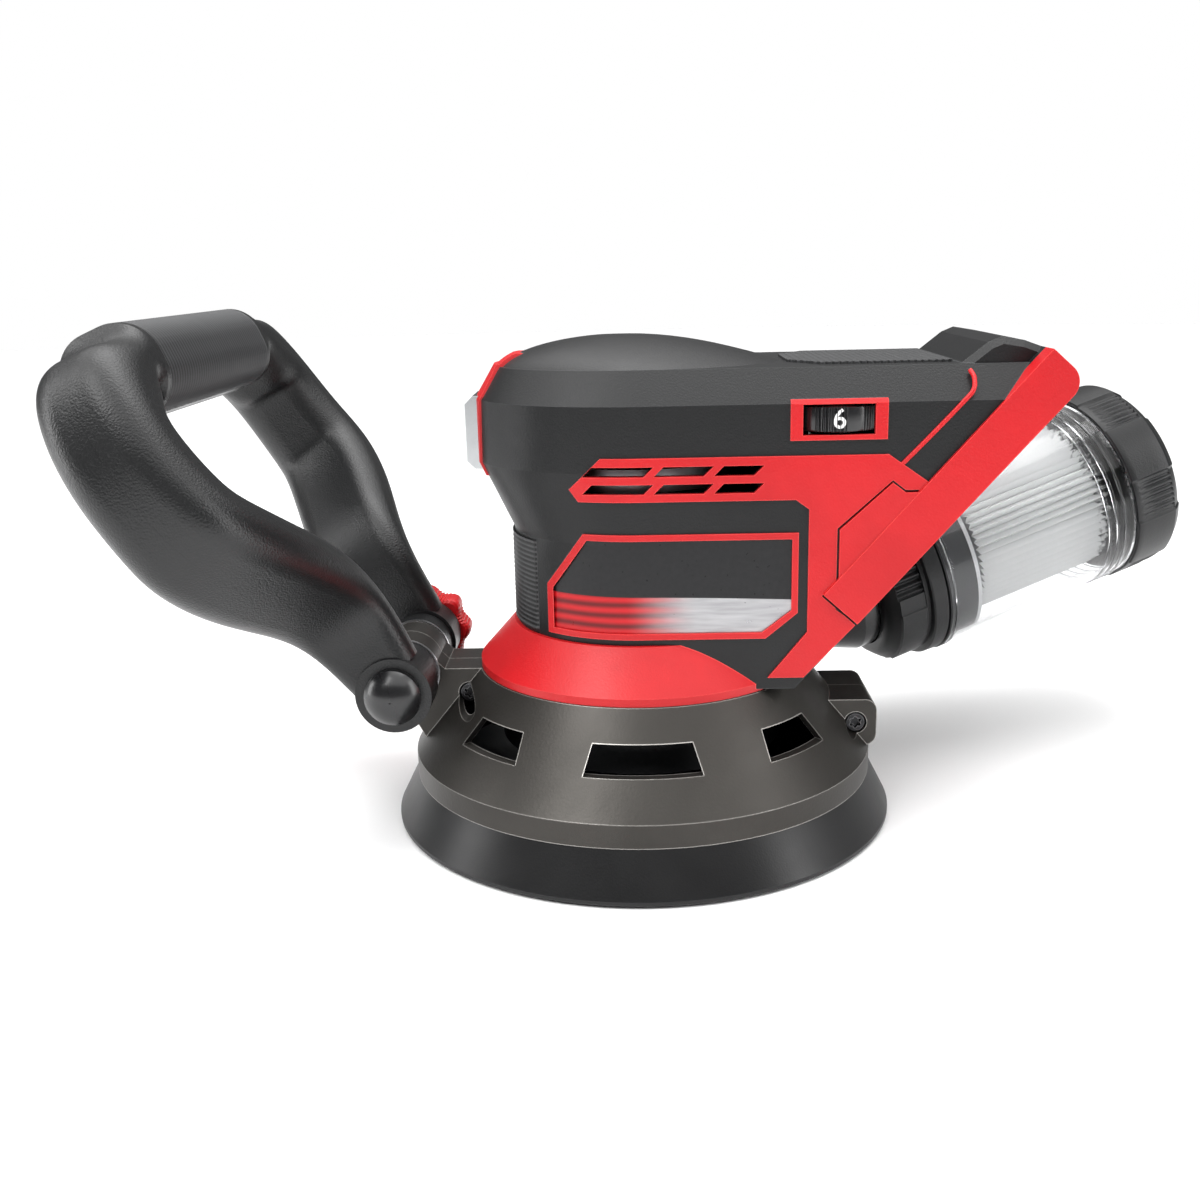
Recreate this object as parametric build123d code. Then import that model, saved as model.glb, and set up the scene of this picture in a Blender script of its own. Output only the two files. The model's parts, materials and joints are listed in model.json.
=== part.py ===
"""Cordless random orbital sander, 150 mm pad, as an assembly of separate pieces.

Millimetres. +Z is up. The origin is on the motor axis, in the plane of the pad's sanding face.
-X is the front, where the handle is. +X is the rear, where the battery and the dust canister are.
"""

import os
from math import asin, atan2, cos, degrees, pi, radians, sin, sqrt, tan

from build123d import *

# ---------------------------------------------------------------- clearances
FIT = 0.05          # radial running clearance of a shaft in its bearing
GAP = 0.35          # gap between pieces that move past each other
SEAT = 0.10         # gap between pieces that are screwed or clipped together

# ---------------------------------------------------------------- pad and skirt
PAD_R = 75.0
PAD_HOLE_R = 4.5
PAD_HOLE_CIRCLE_R = 60.0
PAD_HOLES = 8
HOOK_T = 1.5
FOAM_T = 9.0
PAD_PLATE_T = 3.0
PAD_PLATE_R = 69.0
ORBIT_R = 1.25      # the pad's axis runs this far off the motor's
SKIRT_R = 84.0      # at its lip
SKIRT_WALL = 1.9
SKIRT_LIP_Z = 0.8
SKIRT_TOP_Z = 15.5

# ---------------------------------------------------------------- metal shroud
SHROUD_R = 77.2
SHROUD_BAND_TOP_Z = 23.0
SHROUD_WALL = 2.4
SHROUD_TOP_R = 54.5
SHROUD_TOP_Z = 51.0
WINDOW_LOW_Z = 33.8
WINDOW_HIGH_Z = 42.0
WINDOW_MAIN_HALF_W = 18.0
WINDOW_SIDE_HALF_W = 13.0
WINDOW_TAPER = 3.0
WINDOW_STEP_DEG = 45.6
CLAMP_SCREW_R = 2.0
CLAMP_HEAD_R = 3.6
REAR_EAR_X = 68.0
REAR_EAR_Z = 31.5
REAR_EAR_HALF_Y = 16.0
FRONT_EAR_X = 57.5
FRONT_EAR_Z = 42.5

# ---------------------------------------------------------------- housing
NECK_R = 41.0
NECK_BASE_Z = 52.0
NECK_TOP_Z = 98.0
HEAD_FRONT_X = 51.5
HEAD_HALF_W = 41.0
HEAD_LOW_Z = 120.0
SHOULDER_Z = 140.0
ROOF_Z = 150.0
ROOF_FRONT_X = 45.0
ROOF_HALF_W = 33.0
CROWN_Z = 158.8
# Rings of the crown: share of its height, middle, half length and half width.
CROWN_RINGS = ((0, 1.0, 45.0, 32.8), (0.59, -3.5, 30.5, 22.5), (0.87, -4.5, 19.0, 14.0), (1.0, -5.0, 9.0, 7.0))
HOUSING_WALL = 2.6
TRIM_PROUD = 0.8
TRIM_SEAT = 1.0     # how deep a trim piece sits in its pocket
HOUSING_REAR_X = 128.0

# ---------------------------------------------------------------- battery dock
DOCK_X = 66.1       # lower end of the dock's open face
DOCK_Z = 72.8
DOCK_ANGLE = 48.2
DOCK_LEN = 97.0
DOCK_T = 14.0
DOCK_HALF_W = 39.5
CHEEK_T = 5.0
CHEEK_PROUD = 1.4   # how far the cheeks stand out of the housing's side
CHEEK_GROOVE = 0.7
HUMP_FRONT_X = 97.0
HUMP_Z = 157.5
HUMP_HALF_W = 32.0
DOCK_FLOOR_T = 3.5

# ---------------------------------------------------------------- motor and drive
SHAFT_R = 4.0
STATOR_R = 27.0
STATOR_BORE_R = 14.0
STATOR_LOW_Z = 63.0
STATOR_HIGH_Z = 98.0
MAGNET_R = 13.4
LOWER_BEARING_R = 13.0
UPPER_BEARING_R = 11.0
BEARING_T = 7.0
PAD_BEARING_R = 14.0
CRANK_R = 6.0
FAN_R = 30.0
DUST_FAN_R = 41.0

# ---------------------------------------------------------------- dust path
CHAMBER_R = 47.6
CHAMBER_WALL = 2.2
CHAMBER_LOW_Z = 27.0
CHAMBER_HIGH_Z = 51.9
CAN_X = 101.8       # centre of the coupling's rim, where the clear tube starts
CAN_Y = 70.0
CAN_Z = 66.7
CAN_YAW = 17.3
CAN_PITCH = 16.5
CAN_R = 36.0
CAN_WALL = 2.0
CAN_LEN = 80.0
CAP_LEN = 21.0
PORT_R = 25.0
PORT_WALL = 2.4
PORT_NECK_R = 13.0
COUPLING_LEN = 24.0
FILTER_R = 24.0
FILTER_PLEATS = 36

# ---------------------------------------------------------------- handle
PIVOT_X = -78.5
PIVOT_Z = 50.0
PIVOT_BOLT_R = 5.0
BARREL_R = 11.0
BARREL_HALF_W = 11.7
BOSS_R = 12.2
BOSS_T = 14.0
WASHER_T = 1.2
HANDLE_WALL = 3.0
GRIP_RUBBER_T = 1.2
GRIP_HALF_LEN = 52.0
KNOB_R = 16.0
KNOB_T = 15.0
KNOB_LOBES = 8


# ---------------------------------------------------------------- helpers
def ring(outer_r, inner_r, low_z, high_z):
    """A plain ring about Z."""
    body = Pos(0, 0, low_z) * Cylinder(outer_r, high_z - low_z, align=(Align.CENTER, Align.CENTER, Align.MIN))
    if inner_r <= 0:
        return body
    bore = Pos(0, 0, low_z - 1) * Cylinder(
        inner_r, high_z - low_z + 2, align=(Align.CENTER, Align.CENTER, Align.MIN)
    )
    return body - bore


def spin(points):
    """A solid of revolution about Z from (radius, z) points."""
    return revolve(Plane.XZ * make_face(Polyline(*points, close=True)), Axis.Z)


def across(x, z, radius, low_y, high_y):
    """A cylinder that lies across the tool."""
    return Pos(x, (low_y + high_y) / 2, z) * Rot(90, 0, 0) * Cylinder(radius, high_y - low_y)


def half_space(near):
    """Everything on one side of the housing's split plane."""
    y = -200 if near else 200
    return Pos(0, y, 100) * Box(800, 400, 800)


def save(name, *solids):
    """One node: its separate solids in one file."""
    flat = [s for item in solids for s in item.solids()]
    export_step(Compound(children=flat) if len(flat) > 1 else flat[0], f"parts/{name}.step")


# ---------------------------------------------------------------- dock frame
DOCK_PLANE = Plane(
    origin=(DOCK_X, 0, DOCK_Z),
    x_dir=(cos(radians(DOCK_ANGLE)), 0, sin(radians(DOCK_ANGLE))),
    z_dir=(0, -1, 0),
)


def dock_point(s, t):
    """The (x, z) of a place given in the dock's own directions."""
    a = radians(DOCK_ANGLE)
    return DOCK_X + s * cos(a) + t * sin(a), DOCK_Z + s * sin(a) - t * cos(a)


def dock_block(low_s, high_s, low_t, high_t, low_y, high_y):
    """A box in the dock's own directions: s up the slope, t out of the open face, y across.

    The plane's own y runs into the tool, so t is its opposite."""
    profile = Pos((low_s + high_s) / 2, -(low_t + high_t) / 2) * Rectangle(high_s - low_s, high_t - low_t)
    return extrude(DOCK_PLANE.offset(-high_y) * profile, high_y - low_y)


# ---------------------------------------------------------------- housing outline
def plan(front_x, half_w, z, inset=0.0):
    """The housing's plan at a height: a round nose in front and straight sides to the rear."""
    nose_x = front_x - inset
    side = half_w - inset
    rear = HOUSING_REAR_X - inset
    face = Ellipse(nose_x, side) + Pos(rear / 2, 0) * Rectangle(rear, 2 * side)
    return Pos(0, 0, z) * face


def housing_outer(inset=0.0):
    """The whole housing's outer form, or the same form a distance inside it."""
    neck = extrude(plan(NECK_R, NECK_R - 0.4, NECK_BASE_Z, inset), NECK_TOP_Z - NECK_BASE_Z)
    flare = loft([plan(NECK_R, NECK_R - 0.4, NECK_TOP_Z, inset), plan(HEAD_FRONT_X, HEAD_HALF_W, HEAD_LOW_Z, inset)])
    head = extrude(plan(HEAD_FRONT_X, HEAD_HALF_W, HEAD_LOW_Z, inset), SHOULDER_Z - HEAD_LOW_Z)
    roof_z = ROOF_Z - inset
    shoulder = loft([plan(HEAD_FRONT_X, HEAD_HALF_W, SHOULDER_Z, inset), plan(ROOF_FRONT_X, ROOF_HALF_W, roof_z, inset)])
    crown_h = CROWN_Z - ROOF_Z
    rings = [
        Pos(x, 0, roof_z + rise * crown_h) * Ellipse(long_r - inset, wide_r - inset)
        for rise, x, long_r, wide_r in CROWN_RINGS
    ]
    crown = loft(rings)
    body = neck + flare + head + shoulder + crown
    behind = dock_block(-80, 160, -DOCK_T - inset, 120, -100, 100)
    foot = dock_block(-80, -0.5 - inset, -DOCK_T - 20, -inset, -100, 100)
    return body - (behind - foot)


def skin(outer, seat, cutter):
    """A trim piece that follows the housing's surface, seated in it and standing a little proud."""
    return (outer & cutter) - seat


def side_prism(points, low_y, high_y):
    """A prism across the tool, from low_y to high_y, with an outline seen from the side."""
    face = Plane.XZ.offset(-high_y) * make_face(Polyline(*points, close=True))
    return extrude(face, high_y - low_y)


def both_sides(near_piece):
    """A near-side piece and its mirror image on the far side."""
    return near_piece, mirror(near_piece, Plane.XZ)


# ---------------------------------------------------------------- housing and trim
VENT_LOW_Z = 111.5
VENT_HIGH_Z = 124.7
VENT_FRONT_X = -21.0
VENT_SLOT_H = 3.0
VENT_SLOT_ZS = (115.3, 120.6)
VENT_SLOT_XS = ((-15.5, 3.0), (6.0, 21.0), (24.0, 36.0))
VENT_LEAN = 3.0
FRAME_COLUMN_X = 51.0
LABEL_LOW_Z = 68.5
LABEL_HIGH_Z = 101.4
LABEL_FRONT_X = -29.0
LABEL_REAR_X = 48.0
LABEL_RIM = 1.9
DIAL_X = 59.3
DIAL_Z = 135.2
DIAL_R = 16.0
DIAL_T = 8.0
DIAL_CREST = 1.6    # how far the wheel's rim stands out of the housing's side
DIAL_WHEEL_Y = DIAL_R - HEAD_HALF_W - DIAL_CREST
DIAL_NOTCHES = 40
BEZEL_LEN = 28.5
BEZEL_H = 12.0
BEZEL_RIM = 3.6
SWITCH_LOW_Z = 117.5
SWITCH_HIGH_Z = 141.0
SWITCH_HALF_W = 8.6
SWITCH_RIM = 2.4
ROCKER_DEPTH = 9.0
ROCKER_TILT = 6.0
GRIP_PAD_FRONT_X = 47.0
GRIP_PAD_HALF_W = 25.0
NECK_GRIP_HALF_W = 25.0


def frame_outline():
    """The red side frame: a vent bar along the top, a column at the rear, and a foot to the collar."""
    step = DOCK_T * sin(radians(DOCK_ANGLE))
    rise = DOCK_T * cos(radians(DOCK_ANGLE))
    slope = tan(radians(DOCK_ANGLE))
    corner_x, corner_z = DOCK_X - step, DOCK_Z + rise
    shoulder_z = VENT_HIGH_Z - 8.5
    shoulder_x = corner_x + (shoulder_z - corner_z) / slope
    return [
        (VENT_FRONT_X, VENT_LOW_Z + 3.7),
        (VENT_FRONT_X + 9.6, VENT_HIGH_Z),
        (shoulder_x - 12, VENT_HIGH_Z),
        (shoulder_x, shoulder_z),
        (corner_x, corner_z),
        (DOCK_X, DOCK_Z),
        (DOCK_X - 16, DOCK_Z - 17),
        (DOCK_X - 27, DOCK_Z - 17),
        (FRAME_COLUMN_X - 9, DOCK_Z - 13.5),
        (FRAME_COLUMN_X, DOCK_Z - 2.5),
        (FRAME_COLUMN_X, VENT_LOW_Z - 3),
        (FRAME_COLUMN_X - 4, VENT_LOW_Z),
        (VENT_FRONT_X + 2.7, VENT_LOW_Z),
    ]


def cheek_foot(extra=0.0):
    """The outline of the dock cheek's wide lower end, where it lies over the housing's side."""
    front_x = FRAME_COLUMN_X + 9.2 - extra
    low_x, low_z = dock_point(0, -DOCK_T)
    edge_x, edge_z = dock_point(0.43 * DOCK_LEN, -DOCK_T)
    return [
        (front_x, DOCK_Z + 5.2 - extra),
        (front_x, edge_z - 11.0 + extra * 0.4),
        (edge_x - 7.9, edge_z + 3.0 + extra),
        (edge_x - 4.0, edge_z + extra),
        (edge_x, edge_z + extra),
        (DOCK_X + 4, DOCK_Z),
        (DOCK_X - 3.5, DOCK_Z + 3.0 - extra),
    ]


def label_outline(rim=0.0):
    """The label's frame: an oblong with its upper front and lower rear corners cut off."""
    low, high = LABEL_LOW_Z + rim, LABEL_HIGH_Z - rim
    front, rear = LABEL_FRONT_X + rim, LABEL_REAR_X - rim
    half = rim * 0.4
    return [
        (front, low),
        (front, LABEL_HIGH_Z - 17.2 - half),
        (front + 11.8 - half, high),
        (rear, high),
        (rear, LABEL_LOW_Z + 8 + half),
        (rear - 9.7 + half, low),
    ]


def vent_slots(low_y, high_y):
    """Two rows of leaning slots through the near side."""
    slots = []
    for row_z in VENT_SLOT_ZS:
        for front_x, rear_x in VENT_SLOT_XS:
            low, high = row_z - VENT_SLOT_H / 2, row_z + VENT_SLOT_H / 2
            outline = [(front_x - VENT_LEAN / 2, low), (front_x + VENT_LEAN / 2, high)]
            outline += [(rear_x + VENT_LEAN / 2, high), (rear_x - VENT_LEAN / 2, low)]
            slots.append(side_prism(outline, low_y, high_y))
    return slots


def front_prism(points, front_x, rear_x):
    """A prism along the tool, from front_x to rear_x, with an outline seen from the front."""
    face = Plane.YZ.offset(front_x) * make_face(Polyline(*points, close=True))
    return extrude(face, rear_x - front_x)


def make_housing(port):
    """The two housing shells and everything that is let into their surface."""
    outer = housing_outer()
    proud = housing_outer(-TRIM_PROUD)
    seat = housing_outer(TRIM_SEAT)
    cavity = housing_outer(HOUSING_WALL)
    shell = outer - cavity
    reach = HEAD_HALF_W + 10
    pieces = {}

    frame = skin(proud, seat, side_prism(frame_outline(), -reach, -15))
    for slot in vent_slots(-reach, -15):
        frame -= slot
        shell -= slot + mirror(slot, Plane.XZ)
    frame -= side_prism(cheek_foot(CHEEK_GROOVE), -reach, -15)
    frame -= dock_block(-CHEEK_GROOVE, DOCK_LEN, -DOCK_T, DOCK_T, -reach, -15)
    near_frame, far_frame = both_sides(frame)
    pieces["side_frames"] = [near_frame, far_frame - port]

    rim = skin(proud, seat, side_prism(label_outline(), -reach, -12))
    window = side_prism(label_outline(LABEL_RIM), -reach, -12)
    plate = skin(outer, seat, window)
    rim -= window
    pieces["label_frames"] = list(both_sides(rim))
    pieces["label_plates"] = list(both_sides(plate))

    half_l, half_h = BEZEL_LEN / 2, BEZEL_H / 2
    bezel_box = Pos(DIAL_X, -HEAD_HALF_W, DIAL_Z) * Box(BEZEL_LEN, 12, BEZEL_H)
    bezel_window = Pos(DIAL_X, -HEAD_HALF_W, DIAL_Z) * Box(
        BEZEL_LEN - 2 * BEZEL_RIM, 30, DIAL_T + 2 * GAP + 0.4
    )
    pieces["dial_bezel"] = skin(proud, seat, bezel_box) - bezel_window
    wheel_room = Pos(DIAL_X, DIAL_WHEEL_Y, DIAL_Z) * Cylinder(DIAL_R + GAP, DIAL_T + 2 * GAP + 0.4)
    shell -= bezel_window + wheel_room

    half_w, rim_w = SWITCH_HALF_W, SWITCH_RIM
    trim_outline = [(-half_w - 1, SWITCH_LOW_Z - 2), (-half_w - 3.5, SWITCH_HIGH_Z), (-half_w + 1, ROOF_Z + 4)]
    trim_outline += [(-y, z) for y, z in reversed(trim_outline)]
    trim = skin(proud, seat, front_prism(trim_outline, -HEAD_FRONT_X - 10, -HEAD_FRONT_X + 17))
    switch_hole = front_prism(
        [(y, z) for y, z in (
            (-half_w + rim_w, SWITCH_LOW_Z + rim_w), (half_w - rim_w, SWITCH_LOW_Z + rim_w),
            (half_w - rim_w, SWITCH_HIGH_Z - rim_w), (-half_w + rim_w, SWITCH_HIGH_Z - rim_w))],
        -HEAD_FRONT_X - 12, -HEAD_FRONT_X + 14,
    )
    bezel_front_x = -HEAD_FRONT_X - 3.6
    mid_z = (SWITCH_LOW_Z + SWITCH_HIGH_Z) / 2
    bezel = Pos(bezel_front_x + 3.1, 0, mid_z) * Box(6.2, 2 * half_w, SWITCH_HIGH_Z - SWITCH_LOW_Z)
    bezel = chamfer(bezel.edges().filter_by(Axis.Y).sort_by(Axis.X)[:2], 2.6)
    trim -= bezel
    pieces["switch_trim"] = trim - switch_hole
    shell -= bezel + switch_hole
    pieces["switch_bezel"] = bezel - switch_hole

    pad_outline = [(GRIP_PAD_FRONT_X, -12), (GRIP_PAD_FRONT_X + 9, -GRIP_PAD_HALF_W), (HUMP_FRONT_X - 1.5, -GRIP_PAD_HALF_W)]
    pad_outline += [(x, -y) for x, y in reversed(pad_outline)]
    pad_prism = extrude(Pos(0, 0, ROOF_Z - 6) * make_face(Polyline(*pad_outline, close=True)), 20)
    pieces["top_grip"] = skin(proud, seat, pad_prism)
    neck_outline = [(-NECK_GRIP_HALF_W, 68), (-NECK_GRIP_HALF_W, 97), (NECK_GRIP_HALF_W, 97), (NECK_GRIP_HALF_W, 68)]
    pieces["neck_grip"] = skin(proud, seat, front_prism(neck_outline, -NECK_R - 10, -18))

    for x, z in HOUSING_SCREWS:
        shell += (across(x, z, SCREW_BOSS_R, -reach, reach) & outer)
    for piece in pieces.values():
        for solid in (piece if isinstance(piece, list) else [piece]):
            shell -= solid
    shell -= port
    for x, z in HOUSING_SCREWS:
        head_y = screw_head_y(x)
        shell -= across(x, z, SCREW_R, SCREW_TIP_Y, 0) + across(x, z, SCREW_R + SEAT, 0, reach)
        shell -= across(x, z, SCREW_HEAD_R + SEAT, head_y - SCREW_HEAD_T, reach)
    pieces["housing_near"] = shell & half_space(True)
    pieces["housing_far"] = shell & half_space(False)
    return pieces


SCREW_R = 1.75
SCREW_HEAD_R = 3.2
SCREW_HEAD_T = 2.4
SCREW_TIP_Y = -16.0
SCREW_BOSS_R = 4.2
SCREW_SOCKET_R = 1.4
HOUSING_SCREWS = ((-18.0, 133.0), (22.0, 131.0), (86.0, 140.0), (44.0, 106.4))     # (x, z)


def screw_head_y(x):
    """How far out on the far side the head of a housing screw at x lies."""
    side = HEAD_HALF_W * sqrt(1 - (min(x, 0) / HEAD_FRONT_X) ** 2)
    return side - 2.2


# ---------------------------------------------------------------- motor, drive and pad
def blades(count, inner_r, outer_r, low_z, high_z, thick, lean=0.0):
    """Fan blades, as thin radial walls."""
    wall = Pos((inner_r + outer_r) / 2, 0, (low_z + high_z) / 2) * Rot(0, 0, lean) * Box(
        outer_r - inner_r, thick, high_z - low_z
    )
    return [Rot(0, 0, 360 * k / count) * wall for k in range(count)]


def make_motor():
    """The brushless motor, its bearings and everything that spins with the shaft."""
    pieces = {}
    teeth = 9
    stator = ring(STATOR_R, STATOR_R - 4, STATOR_LOW_Z, STATOR_HIGH_Z)
    tooth_len = STATOR_R - 3.5 - STATOR_BORE_R
    tooth = Pos(STATOR_BORE_R + tooth_len / 2, 0, (STATOR_LOW_Z + STATOR_HIGH_Z) / 2) * Box(
        tooth_len, 4, STATOR_HIGH_Z - STATOR_LOW_Z
    )
    shoe = ring(STATOR_BORE_R + 2, STATOR_BORE_R, STATOR_LOW_Z, STATOR_HIGH_Z)
    for k in range(teeth):
        stator += Rot(0, 0, 360 * k / teeth) * tooth
    pieces["stator"] = stator + shoe
    coil = Pos(STATOR_BORE_R + 2.2 + 3.1, 0, (STATOR_LOW_Z + STATOR_HIGH_Z) / 2) * Box(6, 6.6, STATOR_HIGH_Z - STATOR_LOW_Z + 5)
    core = Pos(STATOR_BORE_R + 5, 0, (STATOR_LOW_Z + STATOR_HIGH_Z) / 2) * Box(9, 4.02, STATOR_HIGH_Z - STATOR_LOW_Z + 0.04)
    winding = coil - core
    pieces["stator_windings"] = [Rot(0, 0, 360 * k / teeth) * winding for k in range(teeth)]

    low_z = STATOR_LOW_Z - 10
    motor_plate = ring(NECK_R - HOUSING_WALL - 0.6, LOWER_BEARING_R, low_z, low_z + BEARING_T)
    motor_plate -= ring(LOWER_BEARING_R - 1, 0, low_z - 1, low_z + 1)
    pieces["motor_plate"] = motor_plate
    pieces["lower_bearing"] = ring(LOWER_BEARING_R, SHAFT_R + FIT, low_z, low_z + BEARING_T)
    bracket_z = UPPER_BRACKET_Z
    pieces["upper_bracket"] = ring(STATOR_R + 6, UPPER_BEARING_R, bracket_z, bracket_z + BEARING_T)
    pieces["upper_bearing"] = ring(UPPER_BEARING_R, SHAFT_R + FIT, bracket_z, bracket_z + BEARING_T)

    pieces["motor_shaft"] = ring(SHAFT_R, 0, ECCENTRIC_TOP_Z - 8, bracket_z + BEARING_T + 4)
    pieces["magnet_rotor"] = ring(MAGNET_R - 0.2, SHAFT_R, STATOR_LOW_Z + 1, STATOR_HIGH_Z - 1)
    fan_z = STATOR_HIGH_Z + 5
    fan = ring(9, SHAFT_R, fan_z, fan_z + 9) + ring(FAN_R, 8, fan_z + 7.5, fan_z + 9)
    for blade in blades(11, 8.5, FAN_R - 0.5, fan_z, fan_z + 8, 1.4, 18):
        fan += blade
    pieces["cooling_fan"] = fan
    dust_z = CHAMBER_LOW_Z + CHAMBER_WALL + 1.3
    dust_fan = ring(11, SHAFT_R, dust_z, dust_z + 15) + ring(DUST_FAN_R, 10, dust_z + 13, dust_z + 15)
    for blade in blades(9, 10.5, DUST_FAN_R - 0.5, dust_z + 1, dust_z + 13.5, 1.8, 14):
        dust_fan += blade
    pieces["dust_fan"] = dust_fan
    pieces["eccentric"] = make_eccentric(dust_z)
    return pieces


UPPER_BRACKET_Z = 113.0
PAD_TOP_Z = HOOK_T + FOAM_T + PAD_PLATE_T
CRANK_LOW_Z = PAD_TOP_Z + 0.4
ECCENTRIC_LOW_Z = CRANK_LOW_Z + 8.6
ECCENTRIC_TOP_Z = CHAMBER_LOW_Z + CHAMBER_WALL + 1.3


def make_eccentric(top_z):
    """The counterweight under the fan, with the crank pin that carries the pad off centre."""
    hub = ring(12, SHAFT_R, ECCENTRIC_LOW_Z, top_z)
    floor = ring(12, 0, ECCENTRIC_LOW_Z - 1.2, ECCENTRIC_LOW_Z)
    weight = ring(21, 11, ECCENTRIC_LOW_Z, CHAMBER_LOW_Z - 0.8)
    weight -= Pos(25 - 2, 0, ECCENTRIC_LOW_Z) * Box(50, 60, 20)
    pin = Pos(ORBIT_R, 0, 0) * ring(CRANK_R, 0, CRANK_LOW_Z + 0.3, ECCENTRIC_LOW_Z - 0.5)
    shaft_bore = ring(SHAFT_R, 0, ECCENTRIC_TOP_Z - 8, top_z + 1)
    return hub + floor + weight + pin - shaft_bore


def make_pad():
    """The sanding pad, hung on its bearing."""
    pieces = {}
    holes = [
        Rot(0, 0, 360 * k / PAD_HOLES) * Pos(PAD_HOLE_CIRCLE_R, 0, 0) * ring(PAD_HOLE_R, 0, -1, 30)
        for k in range(PAD_HOLES)
    ]
    foam_top_z = HOOK_T + FOAM_T
    hook = ring(PAD_R, 0, 0, HOOK_T)
    foam = spin([(0, HOOK_T), (PAD_R, HOOK_T), (PAD_R, HOOK_T + 4.5), (PAD_PLATE_R, foam_top_z), (0, foam_top_z)])
    hub_r = PAD_BEARING_R + 4
    plate = ring(PAD_PLATE_R, 0, foam_top_z, PAD_TOP_Z) + ring(hub_r, PAD_BEARING_R, PAD_TOP_Z, PAD_TOP_Z + 8)
    for hole in holes:
        hook -= hole
        foam -= hole
        plate -= hole
    bolt_places = [Rot(0, 0, 45 + 90 * k) * Pos(38, 0, 0) for k in range(4)]
    bolts = []
    for place in bolt_places:
        bolt = place * (ring(SCREW_R, 0, foam_top_z - 4, PAD_TOP_Z) + ring(SCREW_HEAD_R, 0, PAD_TOP_Z, PAD_TOP_Z + 2))
        plate -= place * ring(SCREW_R, 0, foam_top_z - 5, PAD_TOP_Z + 1)
        foam -= place * ring(SCREW_R, 0, foam_top_z - 4, PAD_TOP_Z + 1)
        bolts.append(bolt)
    pieces["pad_hook_face"] = hook
    pieces["pad_foam"] = foam
    pieces["pad_plate"] = plate
    pieces["pad_screws"] = bolts
    pieces["pad_bearing"] = ring(PAD_BEARING_R, CRANK_R + FIT, PAD_TOP_Z + 0.3, PAD_TOP_Z + 7.4)
    shift = Pos(ORBIT_R, 0, 0)
    return {
        name: [shift * s for s in piece] if isinstance(piece, list) else shift * piece
        for name, piece in pieces.items()
    }


# ---------------------------------------------------------------- dust path
CAN_PLANE = Plane(
    origin=(CAN_X, CAN_Y, CAN_Z),
    z_dir=(
        cos(radians(CAN_PITCH)) * cos(radians(CAN_YAW)),
        cos(radians(CAN_PITCH)) * sin(radians(CAN_YAW)),
        sin(radians(CAN_PITCH)),
    ),
    x_dir=(-sin(radians(CAN_YAW)), cos(radians(CAN_YAW)), 0),
)
PORT_START = -92.0
PORT_FLARE_START = -58.0
PORT_FLARE_END = -30.0
PORT_END = -9.0


def on_can_axis(piece):
    """From a piece built about Z to its place on the canister's axis."""
    return CAN_PLANE.location * piece


def port_form(extra=0.0):
    """The dust port's outer form, with some room round it if asked."""
    points = [
        (0, PORT_START),
        (PORT_NECK_R + extra, PORT_START),
        (PORT_NECK_R + extra, PORT_FLARE_START),
        (PORT_R + extra, PORT_FLARE_END),
        (PORT_R + extra, PORT_END),
        (0, PORT_END),
    ]
    return on_can_axis(spin(points))


def make_dust_path():
    """The fan chamber and the port that leads from it."""
    pieces = {}
    top_z = CHAMBER_HIGH_Z
    chamber = ring(CHAMBER_R, CHAMBER_R - CHAMBER_WALL, CHAMBER_LOW_Z, top_z)
    chamber += ring(CHAMBER_R - 1, SHAFT_R + 8, top_z - CHAMBER_WALL, top_z)
    chamber += ring(CHAMBER_R - 1, 23, CHAMBER_LOW_Z, CHAMBER_LOW_Z + CHAMBER_WALL)
    room = ring(CHAMBER_R - CHAMBER_WALL, 0, CHAMBER_LOW_Z + CHAMBER_WALL, top_z - CHAMBER_WALL)
    under = ring(CHAMBER_R, 0, CHAMBER_LOW_Z - 20, CHAMBER_LOW_Z + CHAMBER_WALL)
    above = ring(CHAMBER_R, 0, top_z - CHAMBER_WALL, top_z + 40)
    wall = PORT_WALL
    bore = on_can_axis(spin([
        (0, PORT_START - 5), (PORT_NECK_R - wall, PORT_START - 5), (PORT_NECK_R - wall, PORT_FLARE_START),
        (PORT_R - wall, PORT_FLARE_END), (PORT_R - wall, PORT_END + 5), (0, PORT_END + 5)]))
    port = port_form() - bore - room - under - above
    port = max(port.solids(), key=lambda s: s.volume)
    pieces["dust_chamber"] = chamber - port_form() 
    pieces["dust_port"] = port
    return pieces


def pleated(outer_r, depth, pleats, low_z, high_z, inner_r):
    """A pleated filter: a star-shaped ring."""
    points = []
    for k in range(2 * pleats):
        r = outer_r if k % 2 == 0 else outer_r - depth
        a = pi * k / pleats
        points.append((r * cos(a), r * sin(a)))
    star = Pos(0, 0, low_z) * make_face(Polyline(*points, close=True))
    return extrude(star, high_z - low_z) - ring(inner_r, 0, low_z - 1, high_z + 1)


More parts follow.
